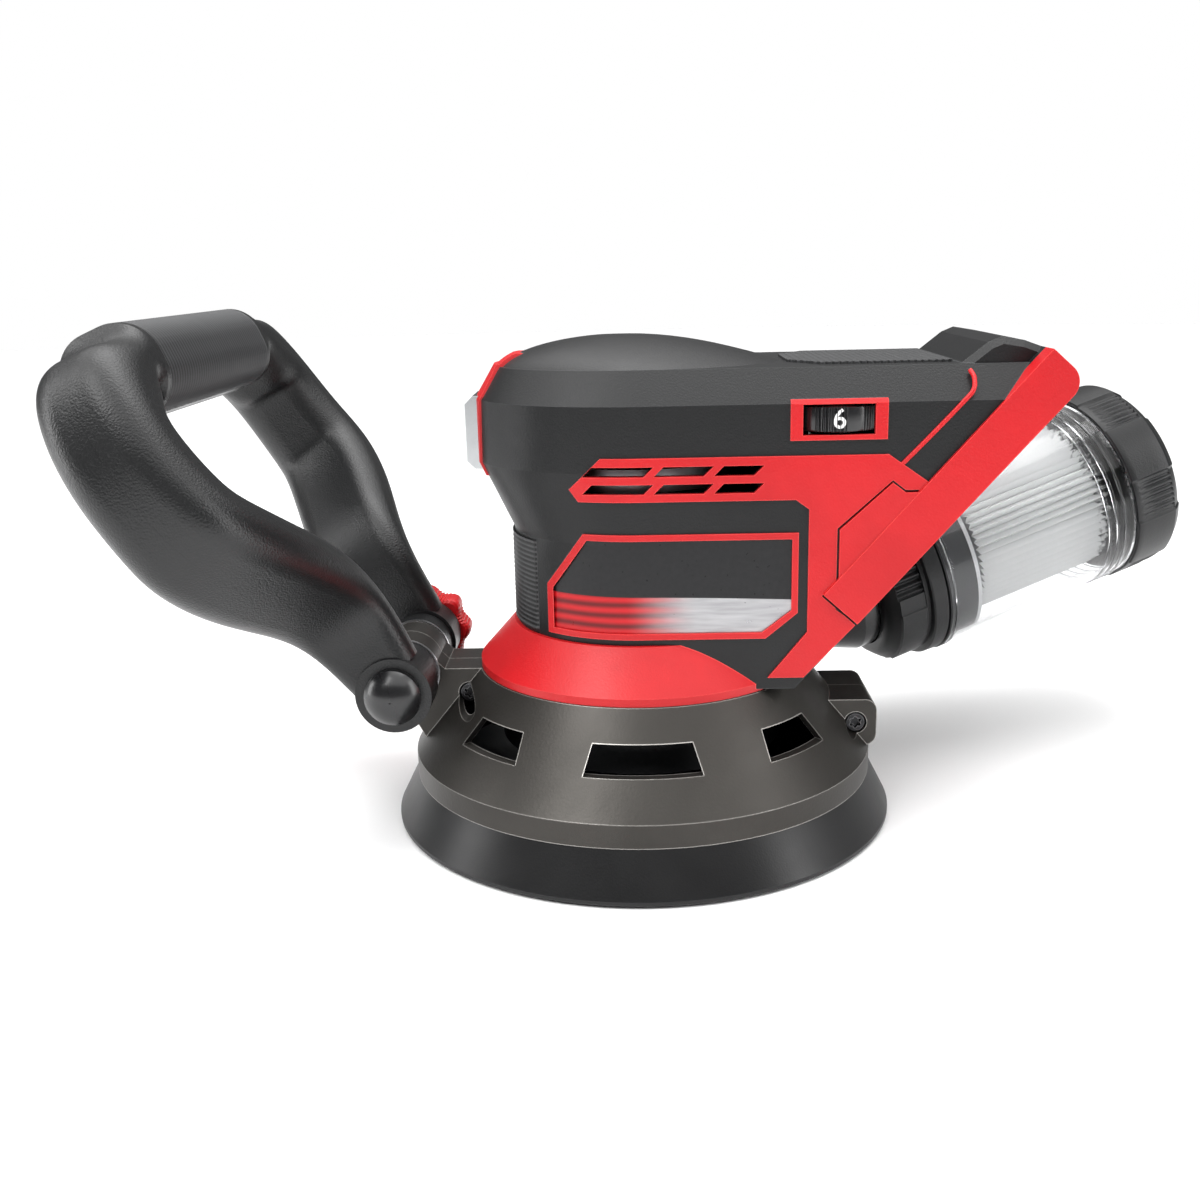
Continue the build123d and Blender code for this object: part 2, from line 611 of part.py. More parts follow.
def make_canister():
    """The clear canister and its filter, along the canister's axis."""
    bore_r = CAN_R - CAN_WALL
    pieces = {}
    coupling = spin([
        (PORT_R + GAP, -COUPLING_LEN), (CAN_R - 7, -COUPLING_LEN), (CAN_R - 2, -COUPLING_LEN + 10),
        (CAN_R - 2, -8), (CAN_R + 0.6, -8), (CAN_R + 0.6, 0), (PORT_R + GAP, 0)])
    pieces["canister_coupling"] = coupling
    pieces["canister_tube"] = ring(CAN_R, bore_r, 0, CAN_LEN)
    adapter = ring(bore_r - SEAT, FILTER_R - 8, 0, 12) + ring(FILTER_R - 1.5, FILTER_R - 8, 12, 18)
    pieces["canister_adapter"] = adapter
    pieces["coupling_seal"] = ring(bore_r - SEAT - 0.1, bore_r - 2.2, 12, 13.6)
    filter_low, filter_high = 18.5, CAN_LEN - 3
    pieces["pleated_filter"] = pleated(FILTER_R, 4.0, FILTER_PLEATS, filter_low, filter_high, FILTER_R - 6)
    pieces["filter_cage"] = ring(FILTER_R - 6.1, FILTER_R - 8, filter_low + 0.2, filter_high - 0.2)
    cap_r = CAN_R + 1.6
    top = CAN_LEN + CAP_LEN
    cap = spin([
        (0, CAN_LEN + 3.6), (cap_r - 3.4, CAN_LEN + 3.6), (cap_r - 3.4, CAN_LEN + 0.3), (cap_r, CAN_LEN + 0.3),
        (cap_r, top - 7), (cap_r - 3, top - 1.5), (cap_r - 8, top), (0, top)])
    cap += ring(FILTER_R, FILTER_R - 5, filter_high, CAN_LEN + 3.7)
    pieces["end_cap"] = cap
    pieces["cap_seal"] = ring(cap_r - 3.5, bore_r - 3, CAN_LEN + 0.3, CAN_LEN + 3.5)
    return {name: on_can_axis(piece) for name, piece in pieces.items()}


# ---------------------------------------------------------------- shroud and skirt
def shroud_profile():
    """The metal shroud's section: a low band, a cone, and a flange at the top."""
    wall = SHROUD_WALL
    slope = (SHROUD_R - SHROUD_TOP_R) / (SHROUD_TOP_Z - SHROUD_BAND_TOP_Z)
    lean = wall * sqrt(1 + slope * slope)
    return [
        (SHROUD_R, SKIRT_TOP_Z),
        (SHROUD_R, SHROUD_BAND_TOP_Z),
        (SHROUD_TOP_R, SHROUD_TOP_Z),
        (CHAMBER_R + SEAT, SHROUD_TOP_Z),
        (CHAMBER_R + SEAT, SHROUD_TOP_Z - wall),
        (SHROUD_TOP_R + slope * wall - lean, SHROUD_TOP_Z - wall),
        (SHROUD_R - lean, SHROUD_BAND_TOP_Z),
        (SHROUD_R - lean, SKIRT_TOP_Z),
    ]


def shroud_windows():
    """Trapezoid windows through the cone: three on the near side, two on the far side."""
    cuts = []
    middle = (WINDOW_LOW_Z + WINDOW_HIGH_Z) / 2
    for turn, half_w in (
        (0, WINDOW_MAIN_HALF_W), (-WINDOW_STEP_DEG, WINDOW_SIDE_HALF_W), (WINDOW_STEP_DEG, WINDOW_SIDE_HALF_W),
        (180, WINDOW_MAIN_HALF_W), (180 + WINDOW_STEP_DEG, WINDOW_SIDE_HALF_W),
    ):
        outline = [
            (-half_w, WINDOW_LOW_Z), (half_w, WINDOW_LOW_Z),
            (half_w - WINDOW_TAPER, WINDOW_HIGH_Z), (-half_w + WINDOW_TAPER, WINDOW_HIGH_Z)]
        cuts.append(Rot(0, 0, turn) * side_prism(outline, -90, -CHAMBER_R - 3))
    return cuts


def yoke():
    """The block on the shroud's front that carries the handle's pivot barrel."""
    half = BARREL_HALF_W
    profile = [
        (-SHROUD_TOP_R + 4, SHROUD_TOP_Z), (PIVOT_X + 13, SHROUD_TOP_Z), (PIVOT_X + 6, PIVOT_Z + 8),
        (PIVOT_X - 6, PIVOT_Z - 7), (PIVOT_X - 1, PIVOT_Z - 11), (-SHROUD_R + 4, SHROUD_BAND_TOP_Z + 4),
        (-SHROUD_R + 8, SHROUD_BAND_TOP_Z + 4)]
    block = side_prism(profile, -half, half)
    barrel = Pos(PIVOT_X, 0, PIVOT_Z) * Rot(90, 0, 0) * Cylinder(BARREL_R, 2 * half)
    return (block + barrel)


def clamp_places():
    """Where the shroud's clamp screws go through, front and rear: (x, z, half length)."""
    return [(-FRONT_EAR_X, FRONT_EAR_Z, BARREL_HALF_W), (REAR_EAR_X + 3, REAR_EAR_Z, REAR_EAR_HALF_Y)]


def make_shroud(port_room):
    """The two halves of the metal shroud, its clamp screws, and the rubber skirt."""
    pieces = {}
    inner = spin([(0, SKIRT_TOP_Z - 1)] + [(r, z) for r, z in (
        (shroud_profile()[-1][0] + 0.01, SKIRT_TOP_Z - 1), shroud_profile()[-2], shroud_profile()[-3])]
        + [(0, SHROUD_TOP_Z - SHROUD_WALL)])
    shell = spin(shroud_profile())
    ear = Pos(REAR_EAR_X, 0, REAR_EAR_Z) * Box(20, 2 * REAR_EAR_HALF_Y, 16)
    ear = fillet(ear.edges().filter_by(Axis.Y), 4)
    solid = shell + (yoke() + ear - inner - ring(CHAMBER_R + SEAT, 0, 0, 80))
    for window in shroud_windows():
        solid -= window
    solid -= port_room
    solid -= across(PIVOT_X, PIVOT_Z, PIVOT_BOLT_R + FIT, -60, 60)
    screws = []
    for x, z, half in clamp_places():
        solid -= across(x, z, CLAMP_SCREW_R, -80, half + 0.2)
        solid -= across(x, z, CLAMP_HEAD_R + SEAT, -80, -half + 3.2)
        screw = across(x, z, CLAMP_SCREW_R, -half + 3.2, half) + across(x, z, CLAMP_HEAD_R, -half + 0.2, -half + 3.2)
        socket = across(x, z, 1.6, -half, -half + 1.8)
        screws.append(screw - socket)
    pieces["shroud_near"] = solid & half_space(True)
    pieces["shroud_far"] = solid & half_space(False)
    pieces["shroud_screws"] = screws
    wall = SKIRT_WALL
    inner_r = shroud_profile()[-1][0]
    pieces["skirt"] = spin([
        (SKIRT_R, SKIRT_LIP_Z), (SKIRT_R, SKIRT_LIP_Z + 1.2), (SHROUD_R - 0.1, SKIRT_TOP_Z), (inner_r - SEAT, SKIRT_TOP_Z),
        (inner_r - SEAT, SHROUD_BAND_TOP_Z - 1), (inner_r - wall, SHROUD_BAND_TOP_Z - 1),
        (inner_r - wall, SKIRT_TOP_Z - 1), (SKIRT_R - wall - 0.3, SKIRT_LIP_Z)])
    return pieces


def make_collar(port_room):
    """The red collar between the neck and the shroud."""
    foot_r = SHROUD_TOP_R - 0.5
    top = spin([
        (CHAMBER_R + SEAT, SHROUD_TOP_Z + SEAT), (foot_r, SHROUD_TOP_Z + SEAT), (foot_r, SHROUD_TOP_Z + 2.6),
        (NECK_R + 5, 62.5), (NECK_R + 1.4, 66.5), (NECK_R - 2, 66.5), (NECK_R - 2, CHAMBER_HIGH_Z + SEAT),
        (CHAMBER_R + SEAT, CHAMBER_HIGH_Z + SEAT)])
    return top - housing_outer() - port_room


# ---------------------------------------------------------------- handle
# The arms' centre line seen from the side: (x, z) from the pivot up to the grip.
ARM_LINE = ((PIVOT_X, PIVOT_Z), (-96.0, 75.5), (-116.0, 102.0), (-134.5, 127.0), (-149.0, 153.0))
# Stations up one arm: share of its length, distance from the middle, outward lean, half width, half thickness.
ARM_STATIONS = (
    (0.05, 29.3, 0, 6.5, 12.2),
    (0.18, 29.3, 0, 6.8, 14.6),
    (0.29, 34.5, 32, 8.5, 16.5),
    (0.40, 50.5, 50, 10.0, 18.0),
    (0.51, 70.0, 44, 11.0, 18.2),
    (0.61, 80.5, 18, 12.0, 17.2),
    (0.70, 82.2, 2, 12.2, 16.4),
    (0.78, 82.2, 0, 12.2, 16.0),
)
ARM_INNER_Y = 22.8
CORNER_R = 28.0
GRIP_HALF_W = 14.0
GRIP_HALF_T = 15.0


def arm_curve():
    """The arms' centre line, as a smooth curve in the tool's middle plane."""
    return Spline(*[(x, 0, z) for x, z in ARM_LINE])


def loop_section(share, across_y, heading_deg, half_w, half_t, inset):
    """One section of the handle's loop, square to its run; heading 0 is up the arm, 90 along the grip."""
    curve = arm_curve()
    point = curve.position_at(share)
    along = curve.tangent_at(share)
    turn = radians(heading_deg)
    side = Vector(0, 1, 0)
    ahead = along * cos(turn) + side * sin(turn)
    normal = side.cross(along)
    plane = Plane(origin=point + side * across_y, x_dir=ahead.cross(normal), z_dir=ahead)
    w, t = half_w - inset, half_t - inset
    return plane * RectangleRounded(2 * w, 2 * t, 0.86 * min(w, t))


def near_stations():
    """The sections of the near arm, from the pivot round the corner to the straight grip."""
    stations = [(share, -y, -lean, w, t) for share, y, lean, w, t in ARM_STATIONS]
    _, top_y, _, top_w, top_t = ARM_STATIONS[-1]
    drop = CORNER_R / arm_curve().length
    for turn in (30, 60, 90):
        a = radians(turn)
        blend = turn / 90
        stations.append((
            1 - drop * (1 - sin(a)),
            -(top_y - CORNER_R * (1 - cos(a))),
            turn,
            top_w + (GRIP_HALF_W - top_w) * blend,
            top_t + (GRIP_HALF_T - top_t) * blend,
        ))
    return stations


def loop_form(inset):
    """The handle's loop as a smooth solid, or the same loop a distance inside it."""
    near_arm = loft([loop_section(*station, inset) for station in near_stations()])
    straight_y = ARM_STATIONS[-1][1] - CORNER_R
    grip = extrude(loop_section(1.0, 0, 90, GRIP_HALF_W, GRIP_HALF_T, inset), straight_y, both=True)
    return near_arm + grip + mirror(near_arm, Plane.XZ)


def on_both_ends(radius, low_y, high_y):
    """A cylinder round the pivot at each arm."""
    return across(PIVOT_X, PIVOT_Z, radius, low_y, high_y) + across(PIVOT_X, PIVOT_Z, radius, -high_y, -low_y)


def upper_side():
    """Everything on the upper side of the arms' centre line, for parting the handle's shells."""
    curve = arm_curve()
    foot = curve.position_at(0) - curve.tangent_at(0) * 40
    head = curve.position_at(1) + curve.tangent_at(1) * 60
    outline = Wire([
        Line(foot, curve.position_at(0)), curve, Line(curve.position_at(1), head),
        Line(head, head + Vector(150, 0, 0)), Line(head + Vector(150, 0, 0), foot + Vector(200, 0, 0)),
        Line(foot + Vector(200, 0, 0), foot),
    ])
    return extrude(make_face(outline), 150, both=True)


def grip_band():
    """The rubber round the grip, before it is parted at its ridges."""
    outer = loop_section(1.0, 0, 90, GRIP_HALF_W, GRIP_HALF_T, 0)
    inner = loop_section(1.0, 0, 90, GRIP_HALF_W, GRIP_HALF_T, GRIP_RUBBER_T)
    return extrude(outer, GRIP_HALF_LEN, both=True) - extrude(inner, GRIP_HALF_LEN, both=True)


def make_handle():
    """The front handle: two shells, the rubber grip, the pivot bolt with its cap, and the clamp knob."""
    pieces = {}
    outer_y = ARM_INNER_Y + BOSS_T
    barrel_y = BARREL_HALF_W + GAP + WASHER_T
    form = loop_form(0) + on_both_ends(BOSS_R, ARM_INNER_Y, outer_y) + on_both_ends(BARREL_R, barrel_y, ARM_INNER_Y + 1)
    hollow = loop_form(HANDLE_WALL) - on_both_ends(BOSS_R + 2, ARM_INNER_Y - 2, outer_y + 2)
    bolt_hole = across(PIVOT_X, PIVOT_Z, PIVOT_BOLT_R, -60, 60)
    band = grip_band()
    centre = arm_curve().position_at(1.0)
    ahead = arm_curve().tangent_at(1.0)
    lean = degrees(atan2(-ahead.X, ahead.Z))
    at_grip = Pos(centre.X, 0, centre.Z) * Rot(0, -lean, 0)
    band -= at_grip * Box(GRIP_RIDGE_W, 200, 80)
    rear_half = at_grip * Pos(50, 0, 0) * Box(100, 200, 200)
    pieces["grip_rubber_rear"] = max((band & rear_half).solids(), key=lambda s: s.volume)
    pieces["grip_rubber_front"] = max((band - rear_half).solids(), key=lambda s: s.volume)
    body = form - hollow - bolt_hole - pieces["grip_rubber_rear"] - pieces["grip_rubber_front"]
    upper = upper_side()
    pieces["handle_upper_shell"] = max((body & upper).solids(), key=lambda s: s.volume)
    pieces["handle_lower_shell"] = max((body - upper).solids(), key=lambda s: s.volume)

    low = BARREL_HALF_W + GAP / 2
    washer = across(PIVOT_X, PIVOT_Z, BARREL_R + 0.4, low, low + WASHER_T) - across(PIVOT_X, PIVOT_Z, PIVOT_BOLT_R, 0, 60)
    pieces["pivot_washers"] = list(both_sides(washer))
    bolt = across(PIVOT_X, PIVOT_Z, PIVOT_BOLT_R, -outer_y, KNOB_FAR_Y - 4)
    pieces["pivot_bolt"] = bolt
    ball_r = (CAP_R ** 2 + CAP_DOME_H ** 2) / (2 * CAP_DOME_H)
    ball_y = -outer_y - CAP_RIM_T - CAP_DOME_H + ball_r
    dome = Pos(PIVOT_X, ball_y, PIVOT_Z) * Rot(90, 0, 0) * Sphere(
        ball_r, arc_size1=degrees(asin(1 - CAP_DOME_H / ball_r)), align=Align.NONE)
    pieces["pivot_cap"] = dome + across(PIVOT_X, PIVOT_Z, CAP_R, -outer_y - CAP_RIM_T, -outer_y)
    pieces["clamp_knob"] = make_knob(outer_y + GAP)
    return pieces


CAP_R = 9.0
CAP_RIM_T = 2.2
CAP_DOME_H = 4.6
GRIP_RIDGE_W = 5.0
KNOB_FAR_Y = ARM_INNER_Y + BOSS_T + GAP + KNOB_T


def make_knob(near_y):
    """The lobed clamp knob on the pivot bolt's far end."""
    disc = Pos(PIVOT_X, near_y + KNOB_T / 2, PIVOT_Z) * Rot(90, 0, 0) * Cylinder(KNOB_R, KNOB_T)
    disc = fillet(disc.edges().filter_by(GeomType.CIRCLE).sort_by(Axis.Y)[-1], 3)
    knob = disc
    for k in range(KNOB_LOBES):
        a = 2 * pi * k / KNOB_LOBES
        flute = across(PIVOT_X + (KNOB_R + 3) * cos(a), PIVOT_Z + (KNOB_R + 3) * sin(a), 5, near_y - 1, near_y + KNOB_T + 1)
        knob -= flute
    return knob - across(PIVOT_X, PIVOT_Z, PIVOT_BOLT_R + FIT, 0, KNOB_FAR_Y - 4)


# ---------------------------------------------------------------- battery dock
def round_top(piece, radius):
    """Round the corner at the dock's upper end that faces away from the tool."""
    def up_slope(edge):
        a = radians(DOCK_ANGLE)
        return edge.center().X * cos(a) + edge.center().Z * sin(a) + 0.001 * edge.center().X
    return fillet(piece.edges().filter_by(Axis.Y).sort_by(up_slope)[-1], radius)


def make_dock():
    """The battery dock at the rear: a tray with its cheeks, rails and terminal block."""
    pieces = {}
    inner_y = DOCK_HALF_W - CHEEK_T
    top_s = DOCK_LEN
    tray = dock_block(0, top_s, -DOCK_T, 0, -inner_y, inner_y)
    tray -= dock_block(-1, top_s - 5, -DOCK_T + DOCK_FLOOR_T, 1, -inner_y + 4, inner_y - 4)
    top_x, top_z = dock_point(top_s, -DOCK_T)
    foot_x = top_x - (top_z - ROOF_Z) / tan(radians(DOCK_ANGLE))
    hump = side_prism(
        [(HUMP_FRONT_X, ROOF_Z), (HUMP_FRONT_X + 7.5, HUMP_Z - 1.6), (HUMP_FRONT_X + 11.5, HUMP_Z),
         (top_x - 5, HUMP_Z - 1.2), (top_x, top_z), (foot_x, ROOF_Z)],
        -HUMP_HALF_W, HUMP_HALF_W)
    upper_edges = hump.edges().filter_by(Plane.XZ).filter_by(lambda e: e.center().Z > ROOF_Z + 2)
    tray += chamfer(upper_edges.filter_by(lambda e: e.center().X < top_x - 2), 2.0)
    corner = [dock_point(top_s + 1, 1), dock_point(top_s + 1, -4.5), dock_point(top_s - 4.5, 1)]
    pieces["dock_tray"] = tray - side_prism(corner, -HEAD_HALF_W, HEAD_HALF_W)
    side_y = HEAD_HALF_W + CHEEK_PROUD
    cheek = round_top(dock_block(0, top_s, -DOCK_T, 0, -side_y, -inner_y), 6.0)
    foot = side_prism(cheek_foot(), -HEAD_HALF_W - 10, -inner_y)
    cheek += skin(housing_outer(-CHEEK_PROUD), housing_outer(), foot)
    pieces["dock_cheeks"] = list(both_sides(cheek))
    rail = dock_block(4, top_s - 6, -4.5, -1.0, -inner_y + 4, -inner_y + 8)
    pieces["battery_rails"] = list(both_sides(rail))
    floor_t = -DOCK_T + DOCK_FLOOR_T
    block = dock_block(62, 88, floor_t, floor_t + 6, -14, 14)
    for y in (-8, 0, 8):
        block -= dock_block(61, 84, floor_t + 2, floor_t + 7, y - 1, y + 1)
    pieces["terminal_block"] = block
    blades_ = [dock_block(64, 83, floor_t + 2, floor_t + 5.5, y - 0.4, y + 0.4) for y in (-8, 0, 8)]
    pieces["battery_terminals"] = blades_
    return pieces


# ---------------------------------------------------------------- controls and electronics
BOARD_X = 26.0
BOARD_Z = 143.0


def make_controls():
    """The rocker switch, the speed dial, the switch block and the controller board."""
    pieces = {}
    mid_z = (SWITCH_LOW_Z + SWITCH_HIGH_Z) / 2
    pivot_x = -HEAD_FRONT_X + 3.0
    tall = SWITCH_HIGH_Z - SWITCH_LOW_Z - 2 * SWITCH_RIM - 2.0
    half_w = SWITCH_HALF_W - SWITCH_RIM - GAP
    profile = [
        (pivot_x - 5.0, mid_z + tall / 2), (pivot_x - 3.6, mid_z), (pivot_x - 5.0, mid_z - tall / 2),
        (pivot_x + 3.0, mid_z - tall / 2 + 1), (pivot_x + 4.0, mid_z), (pivot_x + 3.0, mid_z + tall / 2 - 1)]
    rocker = side_prism(profile, -half_w, half_w)
    pieces["rocker_switch"] = Pos(pivot_x, 0, mid_z) * Rot(0, ROCKER_TILT, 0) * Pos(-pivot_x, 0, -mid_z) * rocker
    pieces["switch_block"] = Pos(pivot_x + 15, 0, mid_z) * Box(16, 14, tall - 2)

    notch = Pos(DIAL_X, DIAL_WHEEL_Y, DIAL_Z)
    wheel = notch * Cylinder(DIAL_R, DIAL_T)
    for k in range(DIAL_NOTCHES):
        wheel -= notch * Rot(0, 0, 360 * k / DIAL_NOTCHES) * Pos(DIAL_R + 0.3, 0, 0) * Box(1.6, 1.2, DIAL_T + 1)
    pieces["dial_wheel"] = wheel - notch * Cylinder(2.5 + FIT, 30)
    pieces["dial_potentiometer"] = notch * Cylinder(2.5, DIAL_T + 1) + notch * Pos(0, 0, -DIAL_T / 2 - 3.0) * Cylinder(7, 5)
    pieces["controller_board"] = Pos(BOARD_X, 0, BOARD_Z) * Box(56, 44, 1.6) + Pos(BOARD_X - 8, 7, BOARD_Z - 3.3) * Box(30, 24, 5)
    return pieces



def make_housing_screws():
    """Screws that hold the two housing halves together, driven from the far side."""
    screws = []
    for x, z in HOUSING_SCREWS:
        head_y = screw_head_y(x)
        screw = across(x, z, SCREW_R, SCREW_TIP_Y, head_y - SCREW_HEAD_T)
        screw += across(x, z, SCREW_HEAD_R, head_y - SCREW_HEAD_T, head_y)
        screws.append(screw - across(x, z, SCREW_SOCKET_R, head_y - 1.5, head_y + 1))
    return screws


def main():
    """Build every piece and write one file for each."""
    os.makedirs("parts", exist_ok=True)
    port_room = port_form(GAP)
    pieces = {}
    pieces.update(make_housing(port_room))
    pieces["collar"] = make_collar(port_room)
    pieces.update(make_dock())
    pieces.update(make_controls())
    pieces["housing_screws"] = make_housing_screws()
    pieces.update(make_motor())
    pieces.update(make_pad())
    pieces.update(make_dust_path())
    pieces.update(make_canister())
    pieces.update(make_shroud(port_room))
    pieces.update(make_handle())
    for name, piece in pieces.items():
        save(name, *(piece if isinstance(piece, list) else [piece]))


if __name__ == "__main__":
    main()
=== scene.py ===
import json
from math import cos, pi, radians, sin

import bmesh
import bpy
from mathutils import Matrix, Vector


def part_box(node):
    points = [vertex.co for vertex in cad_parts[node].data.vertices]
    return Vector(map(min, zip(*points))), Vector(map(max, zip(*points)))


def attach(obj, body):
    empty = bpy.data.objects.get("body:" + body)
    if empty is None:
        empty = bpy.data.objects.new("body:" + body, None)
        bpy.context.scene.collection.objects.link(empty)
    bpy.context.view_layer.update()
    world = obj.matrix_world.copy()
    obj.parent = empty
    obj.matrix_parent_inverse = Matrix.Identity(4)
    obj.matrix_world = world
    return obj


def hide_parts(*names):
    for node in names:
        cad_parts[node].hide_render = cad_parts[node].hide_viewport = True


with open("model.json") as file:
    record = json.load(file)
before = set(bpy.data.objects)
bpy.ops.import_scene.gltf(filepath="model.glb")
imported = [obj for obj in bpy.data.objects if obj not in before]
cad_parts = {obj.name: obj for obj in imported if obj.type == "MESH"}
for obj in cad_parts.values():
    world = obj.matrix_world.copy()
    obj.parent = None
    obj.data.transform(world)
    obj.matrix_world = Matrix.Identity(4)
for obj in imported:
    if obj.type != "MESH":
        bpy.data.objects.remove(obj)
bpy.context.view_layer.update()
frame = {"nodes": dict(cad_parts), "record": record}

# Lengths are in metres, in the tool's own frame: +Z up, -X the front, the origin on the motor axis.
MM = 0.001
JOINTS = {joint["name"]: joint for joint in frame["record"]["behaviour"]["joints"]}
MOUNTS = {mount["name"]: mount for mount in frame["record"]["mounts"]}

CHARCOAL = (0.0085, 0.0088, 0.0094)
HANDLE_BLACK = (0.0085, 0.0088, 0.0093)
SIGNAL_RED = (0.58, 0.008, 0.012)
GUNMETAL = (0.050, 0.0465, 0.042)

SHEEN_SPREAD = 0.10         # how far roughness swings between the handling patches
PATCH_SHADE = 0.16          # how much darker the patches are
METAL_BREAKUP = 0.3         # how much of a metal's painted edge highlight is broken up
MOULDED_BREAKUP = 0.5


# ---------------------------------------------------------------- node helpers
def new_group(name, inputs, outputs):
    """An empty shader node group with the sockets given."""
    group = bpy.data.node_groups.new(name, "ShaderNodeTree")
    for label, kind, value in inputs:
        socket = group.interface.new_socket(label, in_out="INPUT", socket_type=kind)
        socket.default_value = value
    for label, kind in outputs:
        group.interface.new_socket(label, in_out="OUTPUT", socket_type=kind)
    return group, group.nodes.new("NodeGroupInput"), group.nodes.new("NodeGroupOutput")


def node(tree, kind, **settings):
    """A node with its properties and the values of its unlinked inputs set."""
    made = tree.nodes.new(kind)
    values = settings.pop("values", {})
    for key, value in settings.items():
        setattr(made, key, value)
    for key, value in values.items():
        made.inputs[key].default_value = value
    return made


def maths(tree, operation, first, second=None, clamp=False):
    """A Math node fed by sockets or plain numbers."""
    made = node(tree, "ShaderNodeMath", operation=operation, use_clamp=clamp)
    for index, source in enumerate((first, second)):
        if source is None:
            continue
        if isinstance(source, (int, float)):
            made.inputs[index].default_value = source
        else:
            tree.links.new(source, made.inputs[index])
    return made.outputs[0]


def mix_colour(tree, factor, first, second):
    """A colour mix: first where the factor is 0, second where it is 1."""
    made = node(tree, "ShaderNodeMix", data_type="RGBA")
    for index, source in ((0, factor), (6, first), (7, second)):
        if isinstance(source, (int, float)):
            made.inputs[index].default_value = source
        elif isinstance(source, tuple):
            made.inputs[index].default_value = (*source, 1.0)
        else:
            tree.links.new(source, made.inputs[index])
    return made.outputs[2]


def smooth_step(tree, value, low, high):
    """0 below low, 1 above high, and smooth between."""
    made = node(tree, "ShaderNodeMapRange", interpolation_type="SMOOTHSTEP")
    tree.links.new(value, made.inputs["Value"])
    made.inputs["From Min"].default_value = low
    made.inputs["From Max"].default_value = high
    return made.outputs["Result"]


# ---------------------------------------------------------------- shared effects
def grain_group():
    """Spark-eroded grain: small rounded pebbles with a finer noise on them."""
    group, source, sink = new_group(
        "moulded_grain", [("Size", "NodeSocketFloat", 0.0008)], [("Height", "NodeSocketFloat")])
    coords = node(group, "ShaderNodeTexCoord")
    scale = maths(group, "DIVIDE", 1.0, source.outputs["Size"])
    cells = node(group, "ShaderNodeTexVoronoi", feature="SMOOTH_F1",
                 values={"Smoothness": 0.6, "Randomness": 1.0})
    fine = node(group, "ShaderNodeTexNoise", values={"Detail": 3.0, "Roughness": 0.6})
    for texture in (cells, fine):
        group.links.new(coords.outputs["Object"], texture.inputs["Vector"])
        group.links.new(scale, texture.inputs["Scale"])
    pebble = maths(group, "SUBTRACT", 1.0, cells.outputs["Distance"])
    coarse_share = maths(group, "MULTIPLY", pebble, 0.7)
    fine_share = maths(group, "MULTIPLY", fine.outputs[0], 0.5)
    group.links.new(maths(group, "ADD", coarse_share, fine_share), sink.inputs["Height"])
    return group


def edge_shading_group():
    """A mask that is bright along edges: it carries a painted highlight where a moulding catches light, and
    some wear there.
    """
    group, source, sink = new_group(
        "edge_shading_and_wear", [("Strength", "NodeSocketFloat", 6.0), ("Breakup", "NodeSocketFloat", 0.5)],
        [("Mask", "NodeSocketFloat")])
    soft = node(group, "ShaderNodeBevel", samples=4, values={"Radius": 0.5 * MM})
    hard = node(group, "ShaderNodeNewGeometry")
    dot = node(group, "ShaderNodeVectorMath", operation="DOT_PRODUCT")
    group.links.new(soft.outputs[0], dot.inputs[0])
    group.links.new(hard.outputs["Normal"], dot.inputs[1])
    bend = maths(group, "SUBTRACT", 1.0, dot.outputs["Value"])
    coords = node(group, "ShaderNodeTexCoord")
    patches = node(group, "ShaderNodeTexNoise", values={"Scale": 260.0, "Detail": 4.0, "Roughness": 0.65})
    group.links.new(coords.outputs["Object"], patches.inputs["Vector"])
    gaps = maths(group, "SUBTRACT", 1.0, patches.outputs[0])
    keep = maths(group, "SUBTRACT", 1.0, maths(group, "MULTIPLY", gaps, source.outputs["Breakup"]))
    strong = maths(group, "MULTIPLY", bend, source.outputs["Strength"])
    group.links.new(maths(group, "MULTIPLY", strong, keep, clamp=True), sink.inputs["Mask"])
    return group


def handling_group():
    """Broad soft patches, for the slight sheen changes that handling and moulding leave."""
    group, source, sink = new_group(
        "handling_marks", [("Scale", "NodeSocketFloat", 22.0)], [("Patches", "NodeSocketFloat")])
    coords = node(group, "ShaderNodeTexCoord")
    clouds = node(group, "ShaderNodeTexNoise", values={"Detail": 5.0, "Roughness": 0.55, "Distortion": 0.4})
    group.links.new(coords.outputs["Object"], clouds.inputs["Vector"])
    group.links.new(source.outputs["Scale"], clouds.inputs["Scale"])
    group.links.new(smooth_step(group, clouds.outputs[0], 0.32, 0.68), sink.inputs["Patches"])
    return group


GRAIN = grain_group()
EDGE_SHADING = edge_shading_group()
HANDLING = handling_group()


def placed(tree, group, **values):
    """One of the shared groups, placed in a material."""
    made = node(tree, "ShaderNodeGroup", node_tree=group)
    for key, value in values.items():
        made.inputs[key].default_value = value
    return made


def bare_material(name):
    """A new material with a Principled BSDF, and its tree."""
    material = bpy.data.materials.new(name)
    material.use_nodes = True
    tree = material.node_tree
    shader = tree.nodes["Principled BSDF"]
    return material, tree, shader


def bump_from(tree, shader, height, strength, distance):
    """Feed a height to the shader's normal through a Bump node."""
    bump = node(tree, "ShaderNodeBump", values={"Strength": strength, "Distance": distance})
    tree.links.new(height, bump.inputs["Height"])
    tree.links.new(bump.outputs["Normal"], shader.inputs["Normal"])


